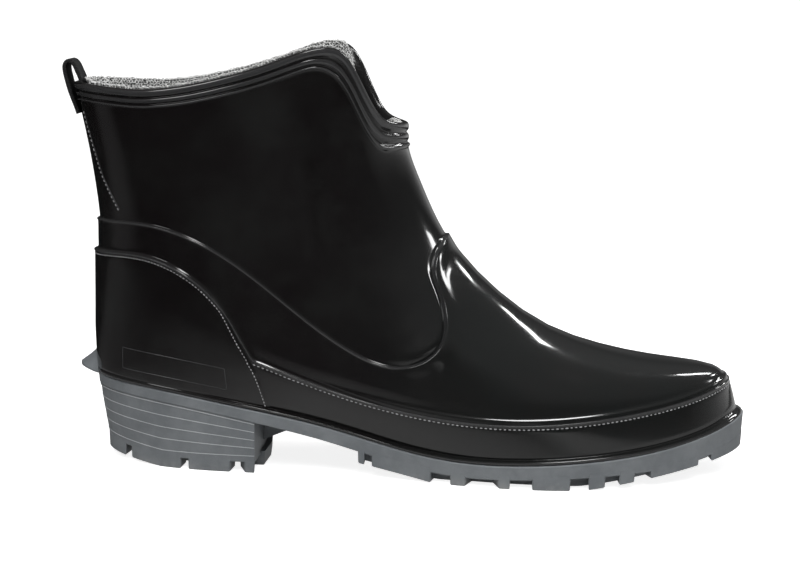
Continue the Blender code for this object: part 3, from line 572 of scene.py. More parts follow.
# Upper: one moulding, all layers in mm over the bare shaft wall
upperForm = {
    "wall": 2.2,
    "vampStep": 0.9,
    "randStep": 0.7,
    "counterStep": 0.5,
    "rimOut": 2.4,
    "rimLeast": 0.8,
    "toeFlare": 0.5,                          # how much higher the ledge stands at the toe tip
    "counterAngle": math.radians(62.6),
    "counterLean": math.radians(2.6),
    "leanReach": 0.3,                         # angle over which columns lean with the counter's front edge
    "counterTop": 1.75,                       # level where the counter's front edge meets the rand
    "counterEdge": 0.30,                      # half width of the counter's step, mm
    "edgeTurn": 117.0,                        # mm to the radian there
    "vampSeam": [(-14, 99), (0, 100), (24, 101), (45, 95), (70, 79), (105, 54), (130, 47.6), (142.8, 56.2),
                 (142.4, 73), (138.6, 86.5), (141, 93), (156, 104)],
    "counterSeam": [(-14, 86), (0, 87), (24, 88), (50.3, 74), (67, 48.3)],
    "randSeam": [(67, 48.3), (107, 34.7), (147, 27), (176, 25.6), (207, 27.6), (232, 31), (248, 34.2), (262, 38),
                 (275, 42)],
    # rim bead over the sole: height, share of its width, plus
    "rimProfile": [(0.0, 1, -0.5), (0.2, 1, -0.27), (0.6, 1, -0.2), (0.95, 0.95, -0.15), (1.25, 0.75, -0.1),
                   (1.45, 0.42, 0), (1.58, 0.12, 0), (1.68, 0.02, -0.06), (1.85, 0, -0.22), (2.1, 0, -0.22),
                   (2.4, 0, -0.06), (2.8, 0, 0)],
    # across counter and rand line: distance, share of the layer below, plus, then both again ahead of the waist
    "lowerProfile": [(-3.0, 1, 0, 1, 0), (-1.9, 1, 0, 1, 0), (-1.55, 1, -0.06, 1, -0.06),
                     (-1.2, 1, -0.10, 1, -0.10), (-0.9, 1, -0.04, 1, -0.04), (-0.62, 1, 0.03, 1, 0.03),
                     (-0.42, 1, 0.18, 1, 0.18),
                     (-0.2, 1, 0.30, 1, 0.28), (0.0, 1, 0.30, 1, 0.28), (0.1, 0.98, 0.28, 1, 0.22),
                     (0.25, 0.78, 0.23, 1, 0.10), (0.4, 0.54, 0.18, 1, 0.02), (0.55, 0.32, 0.12, 1, 0),
                     (0.7, 0.15, 0.05, 1, 0), (0.85, 0.06, -0.01, 1, 0), (1.0, 0.02, -0.06, 1, 0),
                     (1.3, 0, -0.12, 1, 0), (1.6, 0, -0.15, 1, 0), (1.8, 0, -0.16, 0.96, 0),
                     (1.95, 0, -0.16, 0.88, 0), (2.1, 0, -0.16, 0.74, 0),
                     (2.25, 0, -0.16, 0.56, 0), (2.4, 0, -0.16, 0.38, 0), (2.55, 0, -0.16, 0.2, 0),
                     (2.7, 0, -0.15, 0.08, 0), (2.9, 0, -0.15, 0.02, -0.04),
                     (3.3, 0, -0.13, 0, -0.10), (4.0, 0, -0.09, 0, -0.12), (5.2, 0, -0.04, 0, -0.07),
                     (7.0, 0, 0, 0, 0)],
    # across the vamp line: distance, share of the vamp layer, plus, then both again for where the line climbs
    "vampProfile": [(-9.0, 1, 0, 1, 0), (-7.0, 1, 0, 1, 0.14), (-5.5, 1, 0, 1, 0.42), (-4.0, 1, 0, 1, 0.76),
                    (-2.4, 1, 0, 1, 1.08), (-1.3, 1, 0, 1, 1.2), (-0.8, 1, 0, 1, 1.18), (-0.55, 1, 0.06, 1, 1.1),
                    (-0.35, 1, 0.22, 1, 0.95), (-0.2, 1, 0.33, 0.95, 0.68), (-0.05, 1, 0.36, 0.6, 0.36),
                    (0.1, 1, 0.28, 0.2, 0.12), (0.22, 0.85, 0.15, 0.05, 0.1), (0.36, 0.5, 0.04, 0, 0.22),
                    (0.55, 0.12, -0.02, 0, 0.4), (0.85, 0, -0.03, 0, 0.62), (1.4, 0, 0, 0, 0.94),
                    (2.0, 0, 0, 0, 1.2), (2.6, 0, 0, 0, 1.36), (3.3, 0, 0, 0, 1.42), (4.2, 0, 0, 0, 1.36),
                    (5.4, 0, 0, 0, 1.1), (7.0, 0, 0, 0, 0.66), (8.8, 0, 0, 0, 0.26), (11.0, 0, 0, 0, 0)],
    # collar: distance below the edge, out; what lies past lipEnd spreads at the front
    "collarProfile": [(8.6, 0), (7.6, 0), (7.3, 0.05), (7.1, 0.3), (6.9, 0.7), (6.65, 0.85), (6.4, 0.7), (6.2, 0.3),
                      (6.0, 0.0), (5.8, -0.05), (5.6, 0.1), (5.35, 0.45), (4.9, 0.72), (4.4, 0.78), (3.95, 0.66),
                      (3.65, 0.4), (3.4, 0.05), (3.2, -0.08), (3.0, 0.05), (2.75, 0.45), (2.35, 0.82), (1.7, 0.95),
                      (0.9, 0.85), (0.35, 0.6), (0.05, 0.25), (-0.1, -0.2), (-0.12, -0.7), (-0.1, -1.2),
                      (0.0, -1.7), (0.3, -2.05)],
    "seamRoom": 1.3,                          # levels a seam's rows may take on each side
    "lipEnd": 1.4,
    "collarSpread": 1.5 / 3.6, "spreadFrom": (0.70, 0.88),
    "sweepReach": 9, "sweepFrom": (0.5, 4.0),              # how softly the collar's beads sweep round the front
    "rimStart": (0.02, 0.30), "rimBlend": 1.6, "flareFrom": (0.94, 1.0),
    "vampRoom": (0.3, 60, 110),               # least reach of its rows, and x where it starts and is whole
    "foreFrom": (90, 130),                    # x where the rand line's second shape takes over
    # where the vamp line climbs: x, then the heights and the sides where its roll runs out
    "climbFrom": (120, 138), "climbEase": 0.85, "climbTop": (88, 100),
    "rollFade": 0.97, "rollSide": (0.5, 1.2), "rollEnd": (74, 92),
    "recessSide": (0.28, 0.42), "recessUnder": (1.6, 0.9),   # room for the strap inside, angle and levels
    # paler crests, a painted highlight with a little wear from rubbing: height and width on the rim, width at the
    # lines, start and growth on the collar
    "rimCrest": (0.6, 0.4), "lineRubAndHighlight": 0.4, "beadRubAndHighlight": (0.35, 2.2),
    "columnSpacing": (1.25, 1.5, 1.9, 1.3),   # along vamp line, counter and rand line, feather line, collar
    "mostColumns": 420, "edgeColumns": 480, "edgeReach": 0.016,   # to the radian, and near the counter's edge
    "bandCounts": (9, 10, 15), "innerCount": 15, "innerDrop": 0.25,
}


def sideSeams(phi):
    counterPath = smoothPath(upperForm["counterSeam"], 60)
    randPath = smoothPath(upperForm["randSeam"], 90)
    vampPath = smoothPath(upperForm["vampSeam"], 150)
    return seamLevel(np.concatenate([counterPath, randPath[1:]]), phi), seamLevel(vampPath, phi)


fineAngle = np.linspace(0, math.pi, 721)
fineLower, fineVamp = sideSeams(fineAngle)
wholeTurn = np.concatenate([fineAngle, 2 * math.pi - fineAngle[-2:0:-1]])
print("seam lines read")


def bothSides(fine):
    return np.concatenate([fine, fine[-2:0:-1]])


def columnAngles():
    lines = [bareSurface(fineVamp, fineAngle), bareSurface(fineLower, fineAngle), bareSurface(0, fineAngle),
             bareSurface(topLevel, fineAngle)]
    density = np.zeros(len(fineAngle))
    for line, spacing in zip(lines, upperForm["columnSpacing"]):
        stretch = np.linalg.norm(np.gradient(line, fineAngle, axis=0), axis=1)
        density = np.maximum(density, stretch / spacing)
    density = np.minimum(density, upperForm["mostColumns"])
    nearEdge = np.abs(fineAngle - upperForm["counterAngle"]) < upperForm["edgeReach"]
    density = np.where(nearEdge, np.maximum(density, upperForm["edgeColumns"]), density)
    density = runningMean(density, 6)
    run = runningSum((density[1:] + density[:-1]) / 2 * np.diff(fineAngle))
    half = np.interp(np.linspace(0, run[-1], int(run[-1]) + 2), run, fineAngle)
    return np.concatenate([half, 2 * math.pi - half[-2:0:-1]])


def seamAt(phi, fine):
    angle = foldedAngle(phi)
    slope = runningMean(np.gradient(fine, fineAngle), 3)
    side = np.where(np.sin(phi) < 0, -1.0, 1.0)
    return np.interp(angle, fineAngle, fine), side * np.interp(angle, fineAngle, slope)


def rimOut(phi):
    return upperForm["rimOut"] * smoothStep(*upperForm["rimStart"], alongShare(phi))


def counterShare(phi):
    # 1 on the counter, 0 ahead of it
    width = upperForm["counterEdge"] / upperForm["edgeTurn"]
    return 1 - smoothStep(upperForm["counterAngle"] - width, upperForm["counterAngle"] + width, foldedAngle(phi))


def randOut(phi):
    return upperForm["vampStep"] + upperForm["randStep"] + upperForm["counterStep"] * counterShare(phi)


def climbShare(phi, level):
    point = bareSurface(level, phi)
    ease = upperForm["climbEase"] * smoothStep(*upperForm["climbTop"], point[:, 2])
    return smoothStep(*upperForm["climbFrom"], point[:, 0]) * (1 - ease)


def collarPitch(phi):
    return 1 + upperForm["collarSpread"] * smoothStep(*upperForm["spreadFrom"], alongShare(phi))


def innerOut(level, phi):
    # thinned behind the strap
    beside = 1 - smoothStep(*upperForm["recessSide"], foldedAngle(phi))
    height = smoothStep(*[topLevel - under for under in upperForm["recessUnder"]], level)
    return beside * height - upperForm["wall"]


def profileAt(profile, distance, column):
    table = np.array(profile, float)
    return np.interp(distance, table[:, 0], table[:, column])


def layerOut(name, distance, step, second):
    # a profile's two shapes, the second one where its share is 1
    first, firstPlus, other, otherPlus = [profileAt(upperForm[name], distance, column) for column in (1, 2, 3, 4)]
    return (1 - second) * (first * step + firstPlus) + second * (other * step + otherPlus)


def lineDistance(points, line):
    # nearest distance to a closed line, past its points on to its pieces
    step = np.roll(line, -1, axis=0) - line
    length = np.sum(step * step, axis=1)
    least = np.empty(len(points))
    batch = 800
    for start in range(0, len(points), batch):
        apart = points[start:start + batch, None] - line[None]
        along = np.clip(np.sum(apart * step[None], axis=2) / length, 0, 1)
        apart -= along[..., None] * step[None]
        least[start:start + batch] = np.sqrt(np.min(np.sum(apart * apart, axis=2), axis=1))
    return least


def seamRows(level, rate, profile, room):
    # beyond the first mm the rows draw in where a seam has little room
    widest = max(abs(line[0]) for line in profile)
    reach = np.minimum(room, (upperForm["seamRoom"] / rate - 1) / (widest - 1))
    rows = []
    for line in profile:
        apart = np.sign(line[0]) * (min(abs(line[0]), 1) + max(abs(line[0]) - 1, 0) * reach)
        rows.append(level + apart * rate)
    return rows


def bandRows(low, high, count):
    return [low + (high - low) * k / (count + 1) for k in range(1, count + 1)]


def collarRows(phi, edge):
    edgeRate = levelRate(edge, phi, 0.0)
    softRate = runningMean(edgeRate, upperForm["sweepReach"], "wrap")
    softRate = runningMean(softRate, upperForm["sweepReach"], "wrap")
    pitch = collarPitch(phi)
    lipEnd = upperForm["lipEnd"]
    rows = []
    for below, out in upperForm["collarProfile"]:
        spread = np.where(below > lipEnd, lipEnd + (below - lipEnd) * pitch, below)
        # away from the lip the beads sweep round the front
        sweep = smoothStep(*upperForm["sweepFrom"], below)
        rows.append((edge - spread * (edgeRate + (softRate - edgeRate) * sweep), out))
    return rows


def makeUpper():
    phi = columnAngles()
    flat = np.zeros(len(phi))
    edge = np.full(len(phi), topLevel)
    rand = randOut(phi)
    vampOut = upperForm["vampStep"]
    skin = vampOut + upperForm["randStep"]
    lower, lowerSlope = seamAt(phi, fineLower)
    vamp, vampSlope = seamAt(phi, fineVamp)
    lowerRate = levelRate(lower, phi, lowerSlope)
    vampRate = levelRate(vamp, phi, vampSlope)
    vampAt = bareSurface(vamp, phi)
    # rim over the sole
    rimWidth = np.maximum(rimOut(phi), upperForm["rimLeast"])
    flare = upperForm["toeFlare"] * smoothStep(*upperForm["flareFrom"], alongShare(phi))
    footRate = levelRate(flat, phi, 0.0) * (1 + flare)
    crest, crestWidth = upperForm["rimCrest"]
    rings, rubAndHighlight = [], []
    for height, share, plus in upperForm["rimProfile"]:
        under = (rand - skin) * min(height / upperForm["rimBlend"], 1) * (1 - share)
        rings.append(planOffset(footRate * height, phi, skin + under + rimWidth * share + plus))
        rubAndHighlight.append(np.full(len(phi), math.exp(-((height - crest) / crestWidth) ** 2)))
    # rows of the wall, close together at the seams
    least, vampStart, vampWhole = upperForm["vampRoom"]
    vampRoom = least + (1 - least) * smoothStep(vampStart, vampWhole, vampAt[:, 0])
    lowerRows = seamRows(lower, lowerRate, upperForm["lowerProfile"], 1.0)
    vampRows = seamRows(vamp, vampRate, upperForm["vampProfile"], vampRoom)
    collar = collarRows(phi, edge)
    footCount, quarterCount, shaftCount = upperForm["bandCounts"]
    rows = bandRows(footRate * upperForm["rimProfile"][-1][0], lowerRows[0], footCount) + lowerRows
    rows += bandRows(lowerRows[-1], vampRows[0], quarterCount) + vampRows
    rows += bandRows(vampRows[-1], collar[0][0], shaftCount)
    rows = np.maximum.accumulate(np.array(rows), axis=0)
    # layers and lines by their true distance
    count = len(rows)
    level = rows.ravel()
    angle = np.tile(phi, count)
    bare = bareSurface(level, angle)
    distances = []
    for fine, middle in ((fineLower, lower), (fineVamp, vamp)):
        side = np.where(level < np.tile(middle, count), -1.0, 1.0)
        distances.append(side * lineDistance(bare, bareSurface(bothSides(fine), wholeTurn)))
    toLower, toVamp = distances
    # the roll beside the climbing line runs out towards the ridge, on the shaft's side first
    ridge = np.tile(smoothStep(*upperForm["rollEnd"], vampAt[:, 2]), count)
    climb = np.tile(climbShare(phi, vamp), count)
    climb = climb * (1 - upperForm["rollFade"] * smoothStep(*upperForm["rollSide"], toVamp) * ridge)
    fore = np.tile(smoothStep(*upperForm["foreFrom"], bareSurface(lower, phi)[:, 0]), count)
    out = layerOut("lowerProfile", toLower, np.tile(rand, count) - vampOut, fore)
    out += layerOut("vampProfile", toVamp, vampOut, climb)
    wall = bare + surfaceNormal(level, angle) * out[:, None]
    rings += list(wall.reshape(count, len(phi), 3))
    # painted highlight along the lines here, and on the collar's beads below
    toLine = np.minimum(np.abs(toLower), np.abs(toVamp))
    rubAndHighlight += list(np.exp(-(toLine / upperForm["lineRubAndHighlight"]) ** 2).reshape(count, -1))
    highlightFrom, highlightGrowth = upperForm["beadRubAndHighlight"]
    for height, plus in collar:
        rings.append(offsetSurface(height, phi, plus))
        rubAndHighlight.append(np.full(len(phi), float(np.clip((plus - highlightFrom) * highlightGrowth, 0, 1))))
    # down the inside
    innerCount = upperForm["innerCount"]
    innerTop = edge - upperForm["innerDrop"]
    for k in range(1, innerCount):
        inside = innerTop - innerTop * k / innerCount
        rings.append(offsetSurface(inside, phi, innerOut(inside, phi)))
    rings.append(planOffset(0, phi, -upperForm["wall"]))
    rubAndHighlight += [flat] * innerCount
    mesh = gridMesh("bootUpper", rings, "wrap")
    mesh.attributes.new("rubAndHighlight", "FLOAT", "POINT").data.foreach_set("value", np.ravel(rubAndHighlight))
    return mesh


# The frame's place: the upper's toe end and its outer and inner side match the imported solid
def findShift():
    phi = np.linspace(0, 2 * math.pi, 721)
    skin = upperForm["vampStep"] + upperForm["randStep"]
    edge = planOffset(0, phi, skin + rimOut(phi))
    x = upperBox[1].x / mm - edge[:, 0].max()
    y = (upperBox[0].y + upperBox[1].y) / 2 / mm - (edge[:, 1].min() + edge[:, 1].max()) / 2
    return np.array([x, y, 0.0])


shift = findShift()
print("frame shift", [round(float(v), 3) for v in shift])
upperPiece = newObject("boot_upper", makeUpper())
smoothShade(upperPiece, 70)
finishPiece(upperPiece, blackRubber, "black_gloss_rubber", "upper")


# Node trees for what repeats or runs along a line
def lineTree(name, *sizes):
    # its lines become even points; sizes are its named inputs
    tree = bpy.data.node_groups.new(name, "GeometryNodeTree")
    sockets = [("Geometry", "Geometry")] + [(label, "Float") for label in sizes] + [("Material", "Material")]
    for label, kind in sockets:
        tree.interface.new_socket(label, in_out="INPUT", socket_type="NodeSocket" + kind)
    tree.interface.new_socket("Geometry", in_out="OUTPUT", socket_type="NodeSocketGeometry")
    give = tree.nodes.new("NodeGroupInput").outputs
    curve = addNode(tree, "GeometryNodeMeshToCurve", {0: give["Geometry"]})
    even = addNode(tree, "GeometryNodeResampleCurve", {
        "Curve": curve.outputs[0], "Length": give["Pitch"]}, mode="LENGTH")
    return tree, give, even.outputs[0]


def endTree(tree, give, geometry):
    real = addNode(tree, "GeometryNodeRealizeInstances", {0: geometry})
    soft = addNode(tree, "GeometryNodeSetShadeSmooth", {0: real.outputs[0]})
    paint = addNode(tree, "GeometryNodeSetMaterial", {0: soft.outputs[0], "Material": give["Material"]})
    addNode(tree, "NodeGroupOutput", {0: paint.outputs[0]})
    return tree


def facedRotation(tree):
    # stands along the facing that each point carries and runs along its line
    facing = addNode(tree, "GeometryNodeInputNamedAttribute", {"Name": "facing"}, data_type="FLOAT_VECTOR")
    tangent = addNode(tree, "GeometryNodeInputTangent")
    stand = addNode(tree, "FunctionNodeAlignRotationToVector", {
        "Vector": facing.outputs["Attribute"]}, axis="Z")
    run = addNode(tree, "FunctionNodeAlignRotationToVector", {
        "Rotation": stand.outputs[0], "Vector": tangent.outputs[0]}, axis="X", pivot_axis="Z")
    return run.outputs[0]


def randomValue(tree, kind, **values):
    # its sockets share names between kinds, so only the ones shown are used
    node = addNode(tree, "FunctionNodeRandomValue", data_type=kind)
    setInputs(node, values, {socket.name: socket for socket in node.inputs if socket.enabled})
    return next(socket for socket in node.outputs if socket.enabled)


def makeStitchTree():
    tree, give, points = lineTree("stitchRow", "Pitch", "Length", "Width", "Height")
    grain = addNode(tree, "GeometryNodeMeshUVSphere", {"Segments": 8, "Rings": 5, "Radius": 0.5})
    size = addNode(tree, "ShaderNodeCombineXYZ", {"X": give["Length"], "Y": give["Width"], "Z": give["Height"]})
    vary = randomValue(tree, "FLOAT", Min=0.86, Max=1.12, Seed=4)
    scaled = addNode(tree, "ShaderNodeVectorMath", operation="SCALE")
    setInputs(scaled, {0: size.outputs[0], "Scale": vary})
    spread = addNode(tree, "GeometryNodeInstanceOnPoints", {
        "Points": points, "Instance": grain.outputs["Mesh"], "Rotation": facedRotation(tree),
        "Scale": scaled.outputs[0]})
    return endTree(tree, give, spread.outputs[0])


def makeBeadTree():
    tree, give, points = lineTree("raisedLine", "Pitch", "Radius")
    bead = addNode(tree, "GeometryNodeCurvePrimitiveCircle", {"Resolution": 8, "Radius": give["Radius"]})
    sweep = addNode(tree, "GeometryNodeCurveToMesh", {
        "Curve": points, "Profile Curve": bead.outputs[0], "Fill Caps": True})
    return endTree(tree, give, sweep.outputs[0])


def makeKnitTree():
    tree, give, points = lineTree("knitLoops", "Pitch", "Loop", "Yarn", "Tumble")
    hoop = addNode(tree, "GeometryNodeCurvePrimitiveCircle", {"Resolution": 7, "Radius": give["Loop"]})
    thread = addNode(tree, "GeometryNodeCurvePrimitiveCircle", {"Resolution": 4, "Radius": give["Yarn"]})
    sweep = addNode(tree, "GeometryNodeCurveToMesh", {
        "Curve": hoop.outputs[0], "Profile Curve": thread.outputs[0]})
    ends = []
    for sign in (-1.0, 1.0):
        tilt = mathNode(tree, "MULTIPLY", give["Tumble"], sign)
        ends.append(addNode(tree, "ShaderNodeCombineXYZ", dict.fromkeys("XYZ", tilt)).outputs[0])
    tumble = randomValue(tree, "FLOAT_VECTOR", Min=ends[0], Max=ends[1], Seed=11)
    euler = addNode(tree, "FunctionNodeEulerToRotation", {0: tumble})
    turn = addNode(tree, "FunctionNodeRotateRotation", {
        "Rotation": facedRotation(tree), "Rotate By": euler.outputs[0]}, rotation_space="LOCAL")
    grow = randomValue(tree, "FLOAT", Min=0.8, Max=1.25, Seed=23)
    spread = addNode(tree, "GeometryNodeInstanceOnPoints", {
        "Points": points, "Instance": sweep.outputs[0], "Rotation": turn.outputs[0], "Scale": grow})
    return endTree(tree, give, spread.outputs[0])


stitchTree = makeStitchTree()
beadTree = makeBeadTree()
knitTree = makeKnitTree()


def grownPiece(name, lines, tree, values):
    # lines: (points, facing, closed) each; the tree's result becomes a plain mesh
    points, facings, edges = [], [], []
    for line, facing, closed in lines:
        base = len(points)
        points += placed(line).tolist()
        facings += np.asarray(facing, float).tolist()
        edges += [(base + i, base + i + 1) for i in range(len(line) - 1)]
        if closed:
            edges.append((base + len(line) - 1, base))
    path = bpy.data.meshes.new(name + "_path")
    path.from_pydata(points, edges, [])
    path.attributes.new("facing", "FLOAT_VECTOR", "POINT").data.foreach_set("vector", np.ravel(facings))
    carrier = newObject(name + "_path", path)
    modifier = carrier.modifiers.new("grow", "NODES")
    modifier.node_group = tree
    for item in tree.interface.items_tree:
        if item.in_out == "INPUT" and item.name in values:
            modifier[item.identifier] = values[item.name]
    graph = bpy.context.evaluated_depsgraph_get()
    mesh = bpy.data.meshes.new_from_object(carrier.evaluated_get(graph))
    bpy.data.objects.remove(carrier, do_unlink=True)
    bpy.data.meshes.remove(path)
    mesh.name = name
    return newObject(name, mesh)


def surfaceLine(level, phi, out):
    level = np.broadcast_to(np.asarray(level, float), np.shape(phi))
    return offsetSurface(level, phi, out), surfaceNormal(level, phi)


# Moulded stitches and thin raised lines of the upper
stitchForm = {
    "below": 1.35, "mostBelow": 1.2,          # rows lie this far under the raised line, in mm and at most in levels
    "lengthShare": 0.66, "width": 0.55, "height": 0.5,
    "randPitch": 1.9, "counterPitch": 1.5, "stayPitch": 1.9,
    "counterStop": 0.014, "randStart": 0.012,  # angles left free at the counter's front edge
    "counterPast": (70.6, 41.5), "randBefore": (55, 52.4),   # the seams run on past the corner for their rows
    "edgeRow": -1.15, "edgeTop": 0.22, "edgeFoot": 0.22,     # beside the counter's front edge, and its ends
    "counterSunk": 0.04, "randSunk": 0.08, "stayOut": 0.04, "stayRow": 1.1,
    "stayLine": [(9.05, 0.3142), (8.325, 0.3480), (7.85, 0.3900), (7.45, 0.4350), (7.15, 0.4900),
                 (6.875, 0.5440), (6.62, 0.590)],            # level and angle
    "frameLine": [(1.235, 0.4712), (1.225, 0.9739), (0.45, 0.9582), (0.425, 0.4608)],
    # raised lines: radius, pitch, out
    "stayBead": (0.22, 1.2, 0.02), "seamBead": (0.2, 1.2, 0.22), "frameBead": (0.16, 0.9, -0.02),
}


def mirrored(level, phi, out):
    # the same line on the inner side, by angle
    return [(*surfaceLine(level, angle, out), False) for angle in (phi, 2 * math.pi - phi)]


def rowBelow(path, phi):
    # a row under one seam, by that seam's own slope
    level = seamLevel(smoothPath(path, 120), phi)
    slope = np.gradient(level, phi)
    return level - np.clip(stitchForm["below"] * levelRate(level, phi, slope), 0, stitchForm["mostBelow"])


def makeStitches():
    turn = upperForm["counterAngle"]
    counter = np.linspace(0.0, turn - stitchForm["counterStop"], 150)
    rand = np.linspace(turn + stitchForm["randStart"], math.pi, 240)
    counterLevel = rowBelow(upperForm["counterSeam"] + [stitchForm["counterPast"]], counter)
    randLevel = rowBelow([stitchForm["randBefore"]] + upperForm["randSeam"], rand)
    # on down the counter's front edge
    edgeTop = float(np.interp(turn, fineAngle, fineLower)) - stitchForm["edgeTop"]
    down = np.linspace(edgeTop, stitchForm["edgeFoot"], 40)
    around, _ = surfaceSlopes(down, np.full(len(down), turn))
    counterLevel = np.append(counterLevel, down)
    counter = np.append(counter, turn + stitchForm["edgeRow"] / np.linalg.norm(around, axis=1))
    # and round to the inner side
    counterLevel, counter = np.append(counterLevel[:0:-1], counterLevel), np.append(-counter[:0:-1], counter)
    randLevel, rand = np.append(randLevel, randLevel[-2::-1]), np.append(rand, 2 * math.pi - rand[-2::-1])
    counterRow = surfaceLine(counterLevel, counter, randOut(counter) - stitchForm["counterSunk"])
    randRow = surfaceLine(randLevel, rand, randOut(rand) - stitchForm["randSunk"])
    stay = smoothPath(stitchForm["stayLine"], 60)
    around, _ = surfaceSlopes(stay[:, 0], stay[:, 1])
    rear = stay[:, 1] - stitchForm["stayRow"] / np.linalg.norm(around, axis=1)
    stayRows = mirrored(stay[:, 0], rear, stitchForm["stayOut"])
    for name, lines in (("counter", [(*counterRow, False)]), ("rand", [(*randRow, False)]), ("stay", stayRows)):
        step = stitchForm[name + "Pitch"] * mm
        piece = grownPiece(name + "_stitches", lines, stitchTree, {
            "Pitch": step, "Length": stitchForm["lengthShare"] * step, "Width": stitchForm["width"] * mm,
            "Height": stitchForm["height"] * mm, "Material": stitchHighlightRubber})
        finishPiece(piece, None, "black_gloss_rubber")


def makeRaisedLines():
    stay = smoothPath(stitchForm["stayLine"], 60)
    corners = np.array(stitchForm["frameLine"] + stitchForm["frameLine"][:1])
    frameRun = np.concatenate([np.linspace(a, b, 24)[:-1] for a, b in zip(corners, corners[1:])])
    for name, form in (("stay_lines", "stayBead"), ("seam_line", "seamBead"), ("counter_frame", "frameBead")):
        radius, pitch, out = stitchForm[form]
        if form == "stayBead":
            lines = mirrored(stay[:, 0], stay[:, 1], out)
        elif form == "seamBead":
            lines = [(*surfaceLine(bothSides(fineLower), wholeTurn, randOut(wholeTurn) + out), True)]
        else:
            lines = [(*surfaceLine(frameRun[:, 0], frameRun[:, 1], randOut(frameRun[:, 1]) + out), True)]
        piece = grownPiece(name, lines, beadTree, {
            "Pitch": pitch * mm, "Radius": radius * mm, "Material": lineHighlightRubber})
        finishPiece(piece, None, "black_gloss_rubber")


makeStitches()
makeRaisedLines()


# Knitted lining: a sleeve inside the wall with loops along its mouth
liningForm = {
    "thick": 1.1, "above": 0.35, "bottom": 0.33, "columns": 260, "rows": 46, "hiddenRows": 26, "rowGrowth": 1.5,
    # the mouth stays under the edge down the front: how deep, and where it goes down and comes back
    "frontDrop": 7.0, "dropFrom": (0.80, 0.86), "dropBack": (0.93, 0.975), "dropEase": 0.9,
    "strapRoom": 2.3, "strapSide": (0.30, 0.50), "strapUnder": (2.0, 1.0),
    "wave": 0.12, "seed": 7, "against": 0.05,              # unevenness, and how close it lies to the rubber
    "hiddenTop": 0.97, "mouthFoot": (-2.0, 0.1),
    "mouthRound": [(0.3, 0.12), (0.0, 0.55), (0.3, 0.99)],  # over the mouth: distance under its top, depth
    "mapStep": 0.2, "mapEnd": 5.0,            # mm that the thread map runs on, each row and at the end
    "loop": 0.7, "yarn": 0.23, "pitch": 1.35, "tumble": 0.8,
    "loopRows": [(-0.2, -2.5), (0.1, -3.1), (1.0, -3.45), (2.1, -3.5), (3.2, -3.5), (4.3, -3.5)],
}


def liningOut(level, phi, depth):
    beside = 1 - smoothStep(*liningForm["strapSide"], foldedAngle(phi))
    height = smoothStep(*[topLevel - under for under in liningForm["strapUnder"]], level)
    return -upperForm["wall"] - depth - liningForm["strapRoom"] * beside * height


def makeLining():
    count = liningForm["columns"]
    phi = np.linspace(0, 2 * math.pi, count, endpoint=False)
    edge = np.full(count, topLevel)
    rate = levelRate(edge, phi, 0.0)
    thick = liningForm["thick"]
    bottom = liningForm["bottom"]
    against = liningForm["against"]
    along = alongShare(phi)
    back = liningForm["dropEase"] * smoothStep(*liningForm["dropBack"], along)
    drop = liningForm["frontDrop"] * (smoothStep(*liningForm["dropFrom"], along) - back)
    above = liningForm["above"] - drop
    rng = np.random.default_rng(liningForm["seed"])
    rows = []
    # hidden face against the rubber, then over the mouth
    for share in np.linspace(0.0, liningForm["hiddenTop"], liningForm["hiddenRows"]):
        rows.append((bottom + (edge - drop * rate - bottom) * share, against))
    rows += [(edge + (high - drop) * rate, against) for high in liningForm["mouthFoot"]]
    mouthRow = len(rows) + 1
    for under, depth in liningForm["mouthRound"]:
        rows.append((edge + (above - under) * rate, depth))
    for k in range(liningForm["rows"]):
        share = (k / (liningForm["rows"] - 1)) ** liningForm["rowGrowth"]
        level = edge - drop * rate
        level = level - (level - bottom) * share
        rows.append((level, thick + liningForm["wave"] * rng.standard_normal(count)))
    rings = [offsetSurface(level, phi, liningOut(level, phi, depth)) for level, depth in rows]
    mouth = rings[mouthRow]
    across = runLength(np.append(mouth, mouth[:1], axis=0))
    middle = np.array([ring[:, 2].mean() for ring in rings])
    down = runningSum(np.abs(np.diff(middle)) + liningForm["mapStep"])
    down = np.append(down, down[-1] + liningForm["mapEnd"])
    mesh = gridMesh("liningSleeve", rings, "wrap", (down, across))
    piece = newObject("knit_lining", mesh)
    smoothShade(piece, 80)
    finishPiece(piece, liningKnit, "grey_felt")
    lines = []
    for below, depth in liningForm["loopRows"]:
        level = edge - (below + drop) * rate
        out = liningOut(level, phi, -upperForm["wall"] - depth)
        lines.append((offsetSurface(level, phi, out), surfaceNormal(level, phi), True))
    loops = grownPiece("knit_loops", lines, knitTree, {
        "Pitch": liningForm["pitch"] * mm, "Loop": liningForm["loop"] * mm, "Yarn": liningForm["yarn"] * mm,
        "Tumble": liningForm["tumble"], "Material": loopYarn})
    finishPiece(loops, None, "grey_felt")


makeLining()


# Insole: a dished felt bed
insoleForm = {
    "thick": 3.0, "clear": 2.8, "round": 0.7, "dish": 0.8, "insets": (3.0, 7.0, 11.0, 14.5), "columns": 220,
}


def makeInsole():
    phi = np.linspace(0, 2 * math.pi, insoleForm["columns"], endpoint=False)
    rate = levelRate(np.zeros(len(phi)), phi, 0.0)
    clear = insoleForm["clear"]
    thick = insoleForm["thick"]
    edge = insoleForm["round"]
    profile = [(0.0, 0.0), (thick - edge, 0.0), (thick - 0.25 * edge, 0.3 * edge), (thick, edge)]
    rings = [planOffset(rate * high, phi, -clear - inset) for high, inset in profile]
    for inset in insoleForm["insets"]:
        ring = planOffset(rate * thick, phi, -clear - inset)
        ring[:, 2] -= insoleForm["dish"] * smoothStep(0, insoleForm["insets"][-1], inset)
        rings.append(ring)
    piece = newObject("foot_bed", gridMesh("footBed", rings, "ladder"))
    smoothShade(piece, 50)
    finishPiece(piece, felt, "grey_felt", "insole")


makeInsole()


